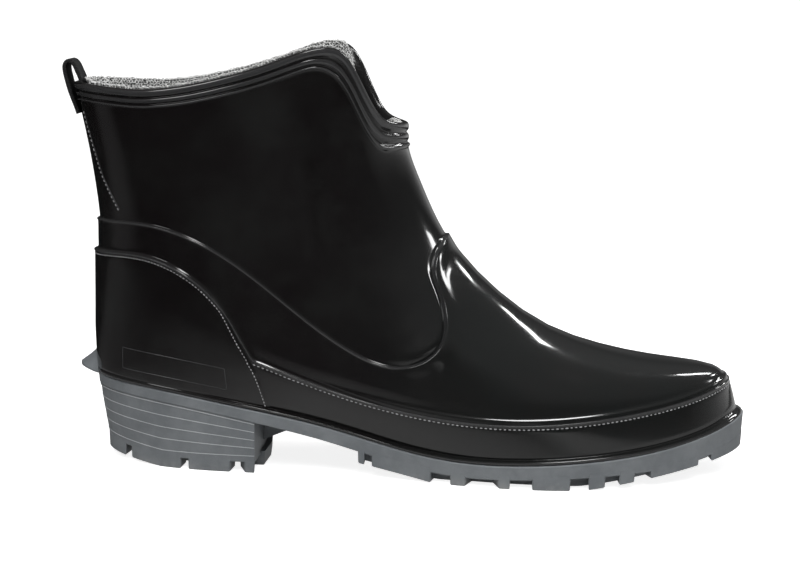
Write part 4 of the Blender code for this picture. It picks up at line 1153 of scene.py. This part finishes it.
# Pull loop: a woven strap over the collar's back
strapForm = {
    "path": [(-9.0, 143.2), (-10.1, 146.3), (-11.5, 149.8), (-12.8, 153.4), (-13.9, 157.3), (-14.7, 161),
             (-14.4, 163.7), (-12.9, 164.8), (-11.3, 163.9), (-9.7, 161), (-8.3, 157.8), (-7.3, 154),
             (-6.4, 150), (-5.6, 146.5)],
    "width": 12.5, "thick": 1.6, "edge": 0.5, "samples": 72,
    "flatFrom": 1.1, "threads": 19, "selvedge": (1.2, 2.2), "selvedgeDip": 0.12,
}


def makeStrap():
    path = smoothPath(strapForm["path"], strapForm["samples"])
    tangent = unitRows(np.gradient(path, axis=0))
    normal = np.stack([-tangent[:, 1], tangent[:, 0]], axis=1)
    halfWide = strapForm["width"] / 2
    halfThick = strapForm["thick"] / 2
    edge = strapForm["edge"]
    # rounded band with a low rib along each selvedge
    side = [(-halfWide, -halfThick + edge), (-halfWide + edge * 0.3, -halfThick + edge * 0.3),
            (-halfWide + edge, -halfThick)]
    inner = []
    flatHalf = halfWide - strapForm["flatFrom"]
    dipFrom, dipTo = strapForm["selvedge"]
    for w in np.linspace(-flatHalf, flatHalf, strapForm["threads"]):
        dip = strapForm["selvedgeDip"] if dipFrom < halfWide - abs(w) < dipTo else 0.0
        inner.append((w, -halfThick + dip))
    lower = side + inner + [(-w, t) for w, t in side[::-1]]
    section = np.array(lower + [(-w, -t) for w, t in lower])
    rings = []
    for point, out in zip(path, normal):
        rings.append(np.stack([point[0] + out[0] * section[:, 1], section[:, 0],
                               point[1] + out[1] * section[:, 1]], axis=1))
    girth = runLength(np.append(section, section[:1], axis=0))
    piece = newObject("pull_strap", gridMesh("pullStrap", rings, "flat", (runLength(path), girth)))
    smoothShade(piece, 45)
    finishPiece(piece, webbing, "black_webbing", "pull_loop")


makeStrap()


# Outsole: strip, ribbed heel, spur and lugs joined into one moulding
soleForm = {
    "gap": 0.3, "draft": 0.5, "columns": 300, "heelColumns": 91, "breastColumns": 25, "edgeSamples": 181,
    "stripLine": [(0, 4.8), (60, 4.9), (90, 5.6), (150, 6.0), (205, 6.3), (255, 9.2), (272, 9.8)],
    "lugInset": 0.52, "lugRoot": 1.5, "groove": 4.0, "lugChamfer": 0.3, "lugCorner": 0.4, "lugDraft": 0.25,
    "lugStraight": -0.8, "lugMostCut": 0.4, "lugSharpest": 0.35,   # corners: not cut past, most cut, least turn
    "breastAt": 68.0, "breastBulge": 1.5, "heelLugHigh": 4.4, "heelTaper": 0.18, "heelShoulder": 0.2,
    "heelLugShoulder": 0.25,
    "ribCount": 5, "ribLowest": 2.8, "ribTop": 0.8, "ribRadius": 0.23, "ribSink": 0.09,
    "ribPitch": 1.5,
    "toeSpring": 10.5, "flatFrom": 142.0, "flatTo": 200.0, "toeCurve": 1.15, "waistRise": 0.2,
    "bevelTo": 28.0, "bevel": 0.14,
    # lugs along the edge: from, to, depth, lean
    "forefootLugs": [(110.5, 113, 12, 0), (116, 140, 15, 3), (148, 154, 15, 5), (167.5, 172, 15, -4),
                     (181, 196, 15, 0), (203.5, 210, 15, 1), (216, 222, 15, -1), (229, 249, 15, -4)],
    "toeLug": (252.5, 12.0), "backLug": (10.4, 8.0),
    "heelLugs": [(15.4, 37, 10, 1), (40.4, 57.8, 10, 1), (64, 68, 10, -3)],
    # short bars behind the gaps: from, to, inset, depth
    "backBars": [(112, 117.5, 5.5, 8), (139, 149, 6.5, 8), (155, 169, 7.5, 8), (170, 182, 7.5, 8),
                 (195, 205, 6.5, 8), (209, 217, 6.0, 8), (221, 230, 6.0, 8), (247, 254, 5.0, 7)],
    "barRaised": 0.5,
    # lugs across the middle: x, length, sweep
    "middleLugs": [(124, 11, 4), (141, 11, 5), (158, 11, 5), (175, 11, 5), (192, 11, 5), (209, 11, 5),
                   (226, 10, 5)],
    "heelMiddleLugs": [(24, 9, 0), (40, 9, 0), (52, 7, 0), (66.5, 8, 1.2)],
    "edgeDepth": 15.0, "heelEdgeDepth": 10.0,  # what the edge lugs take from the middle ones
    # section of the strip: inset, share of the way up, plus
    "stripProfile": [(0.8, 0, 0), (0.45, 0, 0.35), (0.25, 0.5, 0), (0.0, 1, -0.5), (0.4, 1, 0)],
    "spurOut": 6.2, "spurAngle": math.radians(9), "spurRound": 0.7, "spurHigh": 8.7, "spurTip": (1.8, 3.5),
    "spurEnd": (-0.35, 0.2), "spurPlay": 0.4, "spurLean": 0.5, "spurLeast": 0.8,
    "spurInto": 4.0, "spurBury": (-1.1, -0.5),             # how far into the strip, and the heights in there
    "spurLeave": (-0.7, -0.35, 0.5),          # where its underside leaves the strip: inset, height, rise
    "spurEdge": (0.3, 0.35), "spurTop": (0.3, 0.6, 0.85), "spurDish": 0.35,
    "gussetLong": 21.0, "gussetDeep": 13.0, "gussetWide": 20.0, "gussetInto": (0.4, 1.5),
    "heelEdge": (0.25, 0.3), "heelRows": (0.25, 0.5, 0.75),
}


def soleEdge(phi, inset):
    return planOffset(0, phi, upperForm["vampStep"] + upperForm["randStep"] + rimOut(phi) - inset)


def soleTop(x):
    return alongTable(lastForm["soleLine"], x) - soleForm["gap"]


def stripFoot(x):
    return soleTop(x) - alongTable(soleForm["stripLine"], x)


def heelBevel(x):
    return soleForm["bevel"] * np.clip(soleForm["bevelTo"] - np.asarray(x, float), 0, None)


def heelFoot(x):
    return soleForm["heelLugHigh"] + heelBevel(x)


def edgeY(x, side, inset):
    phi = np.linspace(0, math.pi, soleForm["edgeSamples"])
    outline = soleEdge(phi if side < 0 else 2 * math.pi - phi, inset)
    return np.interp(x, outline[:, 0], outline[:, 1])


def treadHeight(x):
    x = np.asarray(x, float)
    waist = soleForm["waistRise"] * np.clip(soleForm["flatFrom"] - x, 0, None)
    reach = lastForm["length"] + upperForm["rimOut"] - soleForm["flatTo"]
    toe = soleForm["toeSpring"] * (np.clip(x - soleForm["flatTo"], 0, None) / reach) ** soleForm["toeCurve"]
    heelEnd = soleForm["breastAt"] + soleForm["breastBulge"] + soleForm["groove"]
    return np.where(x < heelEnd, heelBevel(x), waist + toe)


def heelRing(heightOf, out):
    side = np.linspace(0, math.pi / 2, soleForm["edgeSamples"])
    limit = np.interp(soleForm["breastAt"], soleEdge(side, 0)[:, 0], side)
    phi = np.linspace(-limit, limit, soleForm["heelColumns"])
    rough = soleEdge(phi, soleForm["draft"])
    height = heightOf(rough[:, 0])
    drop = np.clip(stripFoot(rough[:, 0]) - height, 0, None)
    ring = soleEdge(phi, soleForm["draft"] + soleForm["heelShoulder"] + soleForm["heelTaper"] * drop - out)
    ring[:, 2] = height
    across = np.linspace(0, 1, soleForm["breastColumns"])[1:-1]
    breastX = ring[-1, 0] + soleForm["breastBulge"] * 4 * across * (1 - across)
    breastY = ring[-1, 1] + (ring[0, 1] - ring[-1, 1]) * across
    whole = np.concatenate([ring, np.stack([breastX, breastY, heightOf(breastX)], axis=1)])
    return np.roll(whole, -(len(ring) // 2), axis=0)     # starts at the middle of the back


def ribHeight(k):
    part = k / (soleForm["ribCount"] - 1)
    lowest, top = soleForm["ribLowest"], soleForm["ribTop"]
    return lambda x: (heelFoot(x) + lowest) * (1 - part) + (stripFoot(x) - top) * part


def movedOutline(plan, distance):
    # an outline moved in by the distance, out where it is negative
    before = plan - np.roll(plan, 1, axis=0)
    after = np.roll(plan, -1, axis=0) - plan
    area = np.sum(plan[:, 0] * np.roll(plan[:, 1], -1) - np.roll(plan[:, 0], -1) * plan[:, 1])
    sign = 1.0 if area > 0 else -1.0
    normals = []
    for step in (before, after):
        step = unitRows(step)
        normals.append(sign * np.stack([-step[:, 1], step[:, 0]], axis=1))
    both = normals[0] + normals[1]
    both /= np.clip(np.sum(both * normals[0], axis=1), soleForm["lugSharpest"], None)[:, None]
    return plan + both * distance


def cutCorners(plan, distance):
    points = []
    for i, corner in enumerate(plan):
        to = [plan[i - 1] - corner, plan[(i + 1) % len(plan)] - corner]
        turn = np.dot(to[0], to[1]) / np.linalg.norm(to[0]) / np.linalg.norm(to[1])
        if turn < soleForm["lugStraight"]:
            points.append(corner)
            continue
        for step in to:
            long = np.linalg.norm(step)
            points.append(corner + step / long * min(distance, soleForm["lugMostCut"] * long))
    return np.array(points)


def lugMesh(outline, rootHeight, raised=0.0):
    plan = cutCorners(np.array(outline, float), soleForm["lugCorner"])
    chamfer = soleForm["lugChamfer"]
    rings = []
    for inset, rise in ((chamfer, 0.0), (0.0, chamfer)):
        moved = movedOutline(plan, inset)
        rings.append(np.column_stack([moved, treadHeight(plan[:, 0]) + raised + rise]))
    wide = movedOutline(plan, -soleForm["lugDraft"])
    rings.append(np.column_stack([wide, rootHeight(plan[:, 0])]))
    return gridMesh("lug", rings, "flat")


def forefootRoot(x):
    return stripFoot(x) + soleForm["lugRoot"]


def heelRoot(x):
    return heelFoot(x) + soleForm["lugRoot"]


def forefootInset(x):
    return np.full(np.shape(x), soleForm["lugInset"])


def heelInset(x):
    return soleForm["draft"] + soleForm["heelLugShoulder"] + soleForm["heelTaper"] * (stripFoot(x) - heelFoot(x))


def edgeLug(lug, side, inset):
    start, end, depth, lean = lug
    outerX = np.linspace(start, end, 6)
    innerX = np.array([end, start]) + lean
    outer = [(x, float(edgeY(x, side, inset(x)))) for x in outerX]
    return outer + [(x, float(edgeY(x, side, inset(x) + depth))) for x in innerX]


def endLug(centre, limit, inset, depth):
    phi = centre + np.linspace(-limit, limit, 25)
    moved = inset(soleEdge(phi, 0)[:, 0])
    outer = soleEdge(phi, moved)[:, :2]
    inner = soleEdge(phi[4:-4], moved[4:-4] + depth)[::-1, :2]
    return np.concatenate([outer, inner])


def middleLug(lug, inset, depth):
    x, length, sweep = lug
    reach = float(inset(x)) + depth + soleForm["groove"]
    low = float(edgeY(x, -1, reach))
    high = float(edgeY(x, 1, reach))
    middle = (low + high) / 2
    back, front = x - length / 2, x + length / 2
    return [(back, low), (back + sweep, middle), (back, high),
            (front, high), (front + sweep, middle), (front, low)]


def joinedMesh(name, meshes):
    whole = bmesh.new()
    for mesh in meshes:
        whole.from_mesh(mesh)
        bpy.data.meshes.remove(mesh)
    joined = bpy.data.meshes.new(name)
    whole.to_mesh(joined)
    whole.free()
    return joined


def makeBars():
    meshes = []
    for side in (-1, 1):
        for start, end, inset, depth in soleForm["backBars"]:
            bar = edgeLug((start, end, depth, 0), side, lambda x: np.full(np.shape(x), inset))
            meshes.append(lugMesh(bar, forefootRoot, soleForm["barRaised"]))
    return joinedMesh("bars", meshes)


def makeLugs():
    meshes = []
    for side in (-1, 1):
        meshes += [lugMesh(edgeLug(lug, side, forefootInset), forefootRoot) for lug in soleForm["forefootLugs"]]
        meshes += [lugMesh(edgeLug(lug, side, heelInset), heelRoot) for lug in soleForm["heelLugs"]]
    for lug in soleForm["middleLugs"]:
        meshes.append(lugMesh(middleLug(lug, forefootInset, soleForm["edgeDepth"]), forefootRoot))
    for lug in soleForm["heelMiddleLugs"]:
        meshes.append(lugMesh(middleLug(lug, heelInset, soleForm["heelEdgeDepth"]), heelRoot))
    toeFrom, toeDepth = soleForm["toeLug"]
    backTo, backDepth = soleForm["backLug"]
    toeLimit = math.acos(2 * toeFrom / lastForm["length"] - 1)
    backLimit = math.acos(1 - 2 * backTo / lastForm["length"])
    meshes.append(lugMesh(endLug(math.pi, toeLimit, forefootInset, toeDepth), forefootRoot))
    meshes.append(lugMesh(endLug(0.0, backLimit, heelInset, backDepth), heelRoot))
    return joinedMesh("lugs", meshes)


def makeStrip():
    phi = np.linspace(0, 2 * math.pi, soleForm["columns"], endpoint=False)
    rings = []
    for inset, share, plus in soleForm["stripProfile"]:
        ring = soleEdge(phi, inset)
        ring[:, 2] = stripFoot(ring[:, 0]) * (1 - share) + soleTop(ring[:, 0]) * share + plus
        rings.append(ring)
    return gridMesh("strip", rings, "ladder")


def makeHeel():
    edgeIn, edgeHigh = soleForm["heelEdge"]
    rings = [heelRing(heelFoot, -edgeIn), heelRing(lambda x: heelFoot(x) + edgeHigh, 0.0)]
    for share in soleForm["heelRows"]:
        rings.append(heelRing(lambda x: heelFoot(x) * (1 - share) + stripFoot(x) * share, 0.0))
    rings.append(heelRing(lambda x: (stripFoot(x) + soleTop(x)) / 2, 0.0))
    return gridMesh("heelBlock", rings, "ladder")


def makeSpur():
    angle = soleForm["spurAngle"]
    phi = np.linspace(-angle, angle, 41)
    swell = np.clip(np.cos(phi / angle * math.pi / 2), 0, 1) ** soleForm["spurRound"]
    seat = lastForm["heelHeight"] - soleForm["gap"]
    play = soleForm["spurPlay"]
    endLow, endHigh = soleForm["spurEnd"]
    tipLow, tipHigh = soleForm["spurTip"]
    out = -play - soleForm["spurLeast"] - soleForm["spurOut"] * swell
    low = endLow + (tipLow - endLow) * swell
    high = endHigh + (tipHigh - endHigh) * swell
    root = endHigh + (soleForm["spurHigh"] - endHigh) * swell
    lean = -play - soleForm["spurLean"] * swell
    flat = np.ones(len(phi))
    into = soleForm["spurInto"] * flat
    buryLow, buryHigh = [height * flat for height in soleForm["spurBury"]]
    leaveIn, leaveLow, leaveRise = soleForm["spurLeave"]
    edge, upperEdge = soleForm["spurEdge"]
    # the underside leaves the strip just below its edge, so a line stays between them
    corners = [(into, buryLow), (play * flat, buryLow), (leaveIn * flat, leaveLow * flat + leaveRise * swell),
               (out + edge, low), (out, low + edge * swell),
               (out, high - edge * swell), (out + upperEdge, high)]
    # dished top up to the root
    for share in soleForm["spurTop"]:
        rise = share - soleForm["spurDish"] * share * (1 - share)
        corners.append((out + (lean - out) * share, high + (root - high) * rise))
    corners += [(lean, root), (-play * flat, buryHigh), (into, buryHigh)]
    runs = []
    for inset, rise in corners:
        run = soleEdge(phi, inset)
        run[:, 2] = seat + rise
        runs.append(run)
    return gridMesh("spur", np.stack(runs, axis=1), "flat")


def makeGusset():
    low = soleForm["breastAt"]
    high = low + soleForm["gussetLong"]
    stripLow = float(stripFoot(low)[0])
    stripHigh = float(stripFoot(high)[0])
    half = soleForm["gussetWide"] / 2
    tip, into = soleForm["gussetInto"]
    ridge = [(low, stripLow - soleForm["gussetDeep"]), (high, stripHigh + tip), (high, stripHigh + into),
             (low, stripLow + into)]
    rings = [[(x, y, z) for x, z in ridge] for y in (-half, half)]
    return gridMesh("gusset", rings, "flat")


def makeOutsole():
    whole = newObject("sole_strip", makeStrip())
    others = []
    for name, mesh in (("heel", makeHeel()), ("lugs", makeLugs()), ("bars", makeBars()), ("spur", makeSpur()),
                       ("gusset", makeGusset())):
        other = newObject("join_" + name, mesh)
        join = whole.modifiers.new("join_" + name, "BOOLEAN")
        join.operation = "UNION"
        join.solver = "EXACT"
        join.object = other
        others.append(other)
    graph = bpy.context.evaluated_depsgraph_get()
    mesh = bpy.data.meshes.new_from_object(whole.evaluated_get(graph))
    for thing in [whole] + others:
        bpy.data.objects.remove(thing, do_unlink=True)
    mesh.name = "bootOutsole"
    piece = newObject("boot_outsole", mesh)
    smoothShade(piece, 32)
    finishPiece(piece, greyRubber, "grey_rubber", "outsole")
    lines = []
    for k in range(soleForm["ribCount"]):
        # from corner to corner round the back, the breast stays plain
        ring = heelRing(ribHeight(k), -soleForm["ribSink"])
        half = soleForm["heelColumns"] // 2
        ring = np.concatenate([ring[-half:], ring[:half + 1]])
        facing = unitRows(np.cross(np.gradient(ring, axis=0), np.array([0, 0, 1.0])))
        lines.append((ring, facing, False))
    ribs = grownPiece("heel_ribs", lines, beadTree, {
        "Pitch": soleForm["ribPitch"] * mm, "Radius": soleForm["ribRadius"] * mm, "Material": ribHighlightRubber})
    finishPiece(ribs, None, "grey_rubber")


makeOutsole()


# Floor, light and camera
stageForm = {
    "size": (-3.0, -3.0, 3.0, 1.6), "white": (0.72, 0.72, 0.72), "glow": 0.85, "backdrop": 1.2,
    "matt": 0.7, "shine": 0.2,
    # what the gloss mirrors of the floor: beside the boot, further out, and where it falls off
    "mirrorNear": 0.5, "mirrorFar": 0.045, "mirrorFall": (0.055, 0.17), "mirrorEnds": 0.2,
    "heelFall": (-0.24, -0.05), "toeFall": (0.16, 0.34),
    # and past the ball, where it reaches further out
    "mirrorAhead": 0.5, "aheadStart": (0.03, 0.12), "aheadFall": (0.3, 0.6),
    # the room around, by the height of the view: from, to, dark, pale; then the pale low part past the toe
    "room": (0.22, 0.62, 0.035, 0.16), "paleLow": (0.05, 0.30, 0.8, 0.0),
    "paleSides": {"X": (0.1, 0.5), "Y": (-0.35, 0.5)},
}


def makeFloor():
    material, tree, shader, place = newMaterial("paleFloor", {
        "Base Color": (*stageForm["white"], 1), "Roughness": stageForm["matt"],
        "Specular IOR Level": stageForm["shine"], "Emission Color": (1, 1, 1, 1)})
    # brightens what the camera sees of it, without lighting the boot from below
    path = tree.nodes.new("ShaderNodeLightPath")
    glow = mapValue(tree, path.outputs["Is Camera Ray"], 0, 1, 0, stageForm["glow"])
    setInputs(shader, {"Emission Strength": glow})
    # the mirrored floor fades away from the boot
    apart = splitPlace(tree, place["Object"])
    along = apart["X"]
    aside = mathNode(tree, "ABSOLUTE", apart["Y"])
    ends = mathNode(
        tree, "MULTIPLY",
        mapValue(tree, along, *stageForm["heelFall"], stageForm["mirrorEnds"], 1),
        mapValue(tree, along, *stageForm["toeFall"], 1, stageForm["mirrorEnds"]))
    near = mapValue(tree, aside, *stageForm["mirrorFall"], stageForm["mirrorNear"], stageForm["mirrorFar"])
    ahead = mathNode(
        tree, "MULTIPLY",
        mapValue(tree, along, *stageForm["aheadStart"], 0, 1),
        mapValue(tree, aside, *stageForm["aheadFall"], stageForm["mirrorAhead"], 0))
    strength = mathNode(tree, "MAXIMUM", mathNode(tree, "MULTIPLY", near, ends), ahead)
    glossy = addNode(tree, "ShaderNodeEmission", {"Strength": strength})
    mix = addNode(tree, "ShaderNodeMixShader", {
        0: path.outputs["Is Glossy Ray"], 1: shader.outputs[0], 2: glossy.outputs[0]})
    setInputs(tree.nodes["Material Output"], {"Surface": mix.outputs[0]})
    x0, y0, x1, y1 = stageForm["size"]
    mesh = bpy.data.meshes.new("paleFloor")
    mesh.from_pydata([(x0, y0, 0), (x1, y0, 0), (x1, y1, 0), (x0, y1, 0)], [], [(0, 1, 2, 3)])
    mesh.materials.append(material)
    newObject("pale_floor", mesh)


lightAim = (0.03, 0.0, 0.06)
lightForm = [
    # name, middle, long axis, long, wide, watts, mirrored in the gloss
    ("stripUpper", (0.807, 0.682, 0.674), (-0.193, 0.751, -0.632), 0.113, 0.05, 0.39, True),
    ("stripLong", (0.590, 0.727, 0.806), (-0.699, -0.234, 0.675), 0.25, 0.065, 1.15, True),
    ("toePane", (2.608, 0.927, 1.603), (-0.456, -0.166, 0.875), 0.40, 0.36, 5.8, True),
    ("topPane", (0.197, -0.308, 1.215), (0.48, 0.87, 0.11), 0.52, 0.17, 4.4, True),
    ("boxAtHeel", (-0.65, -0.70, 0.81), (0.7, -0.7, 0.0), 0.40, 0.30, 2.2, True),
    ("overhead", (-0.1, 0.1, 1.5), (1.0, 0.0, 0.0), 1.2, 1.2, 8.0, False),
    ("front", (0.1, -0.9, 0.9), (1.0, 0.0, 0.0), 0.8, 0.5, 8.3, False),
]


def makeLights():
    for name, middle, axis, long, wide, watts, mirroredToo in lightForm:
        lamp = bpy.data.lights.new(name, "AREA")
        lamp.shape = "RECTANGLE"
        lamp.size = long
        lamp.size_y = wide
        lamp.energy = watts
        thing = bpy.data.objects.new(name, lamp)
        bpy.context.scene.collection.objects.link(thing)
        thing.visible_glossy = mirroredToo
        back = (Vector(middle) - Vector(lightAim)).normalized()
        across = Vector(axis) - back * Vector(axis).dot(back)
        across.normalize()
        turn = Matrix((across, back.cross(across), back)).transposed().to_4x4()
        thing.matrix_world = Matrix.Translation(middle) @ turn
    world = bpy.data.worlds.new("studio")
    world.use_nodes = True
    tree = world.node_tree
    seen = tree.nodes["Background"]
    setInputs(seen, {"Color": (1, 1, 1, 1), "Strength": stageForm["backdrop"]})
    path = tree.nodes.new("ShaderNodeLightPath")
    apart = splitPlace(tree, tree.nodes.new("ShaderNodeTexCoord").outputs["Generated"])
    # paler overhead, and low down past the toe
    pale = mapValue(tree, apart["Z"], *stageForm["paleLow"])
    for axis, limits in stageForm["paleSides"].items():
        pale = mathNode(tree, "MULTIPLY", pale, mapValue(tree, apart[axis], *limits, 0, 1))
    strength = mathNode(tree, "ADD", mapValue(tree, apart["Z"], *stageForm["room"]), pale)
    dim = addNode(tree, "ShaderNodeBackground", {"Strength": strength})
    mix = addNode(tree, "ShaderNodeMixShader", {
        0: path.outputs["Is Camera Ray"], 1: dim.outputs[0], 2: seen.outputs[0]})
    setInputs(tree.nodes["World Output"], {"Surface": mix.outputs[0]})
    bpy.context.scene.world = world
    bpy.context.scene.view_settings.view_transform = "Standard"


cameraForm = {
    "place": (154.106, -839.024, 204.830), "forward": (-0.03447, 0.98709, -0.15643), "roll": 1.2,
    "lens": 91.57, "sensor": 36.0, "nearest": 0.02,
}


def makeCamera():
    lens = bpy.data.cameras.new("photoCamera")
    lens.lens = cameraForm["lens"]
    lens.sensor_width = cameraForm["sensor"]
    lens.clip_start = cameraForm["nearest"]
    camera = bpy.data.objects.new("photoCamera", lens)
    bpy.context.scene.collection.objects.link(camera)
    forward = Vector(cameraForm["forward"]).normalized()
    right = forward.cross(Vector((0, 0, 1))).normalized()
    up = right.cross(forward)
    roll = math.radians(cameraForm["roll"])
    turnedRight = right * math.cos(roll) + up * math.sin(roll)
    turnedUp = up * math.cos(roll) - right * math.sin(roll)
    turn = Matrix((turnedRight, turnedUp, -forward)).transposed().to_4x4()
    camera.matrix_world = Matrix.Translation(placed(cameraForm["place"])) @ turn
    bpy.context.scene.camera = camera


makeFloor()
makeLights()
makeCamera()
print("stage ready")
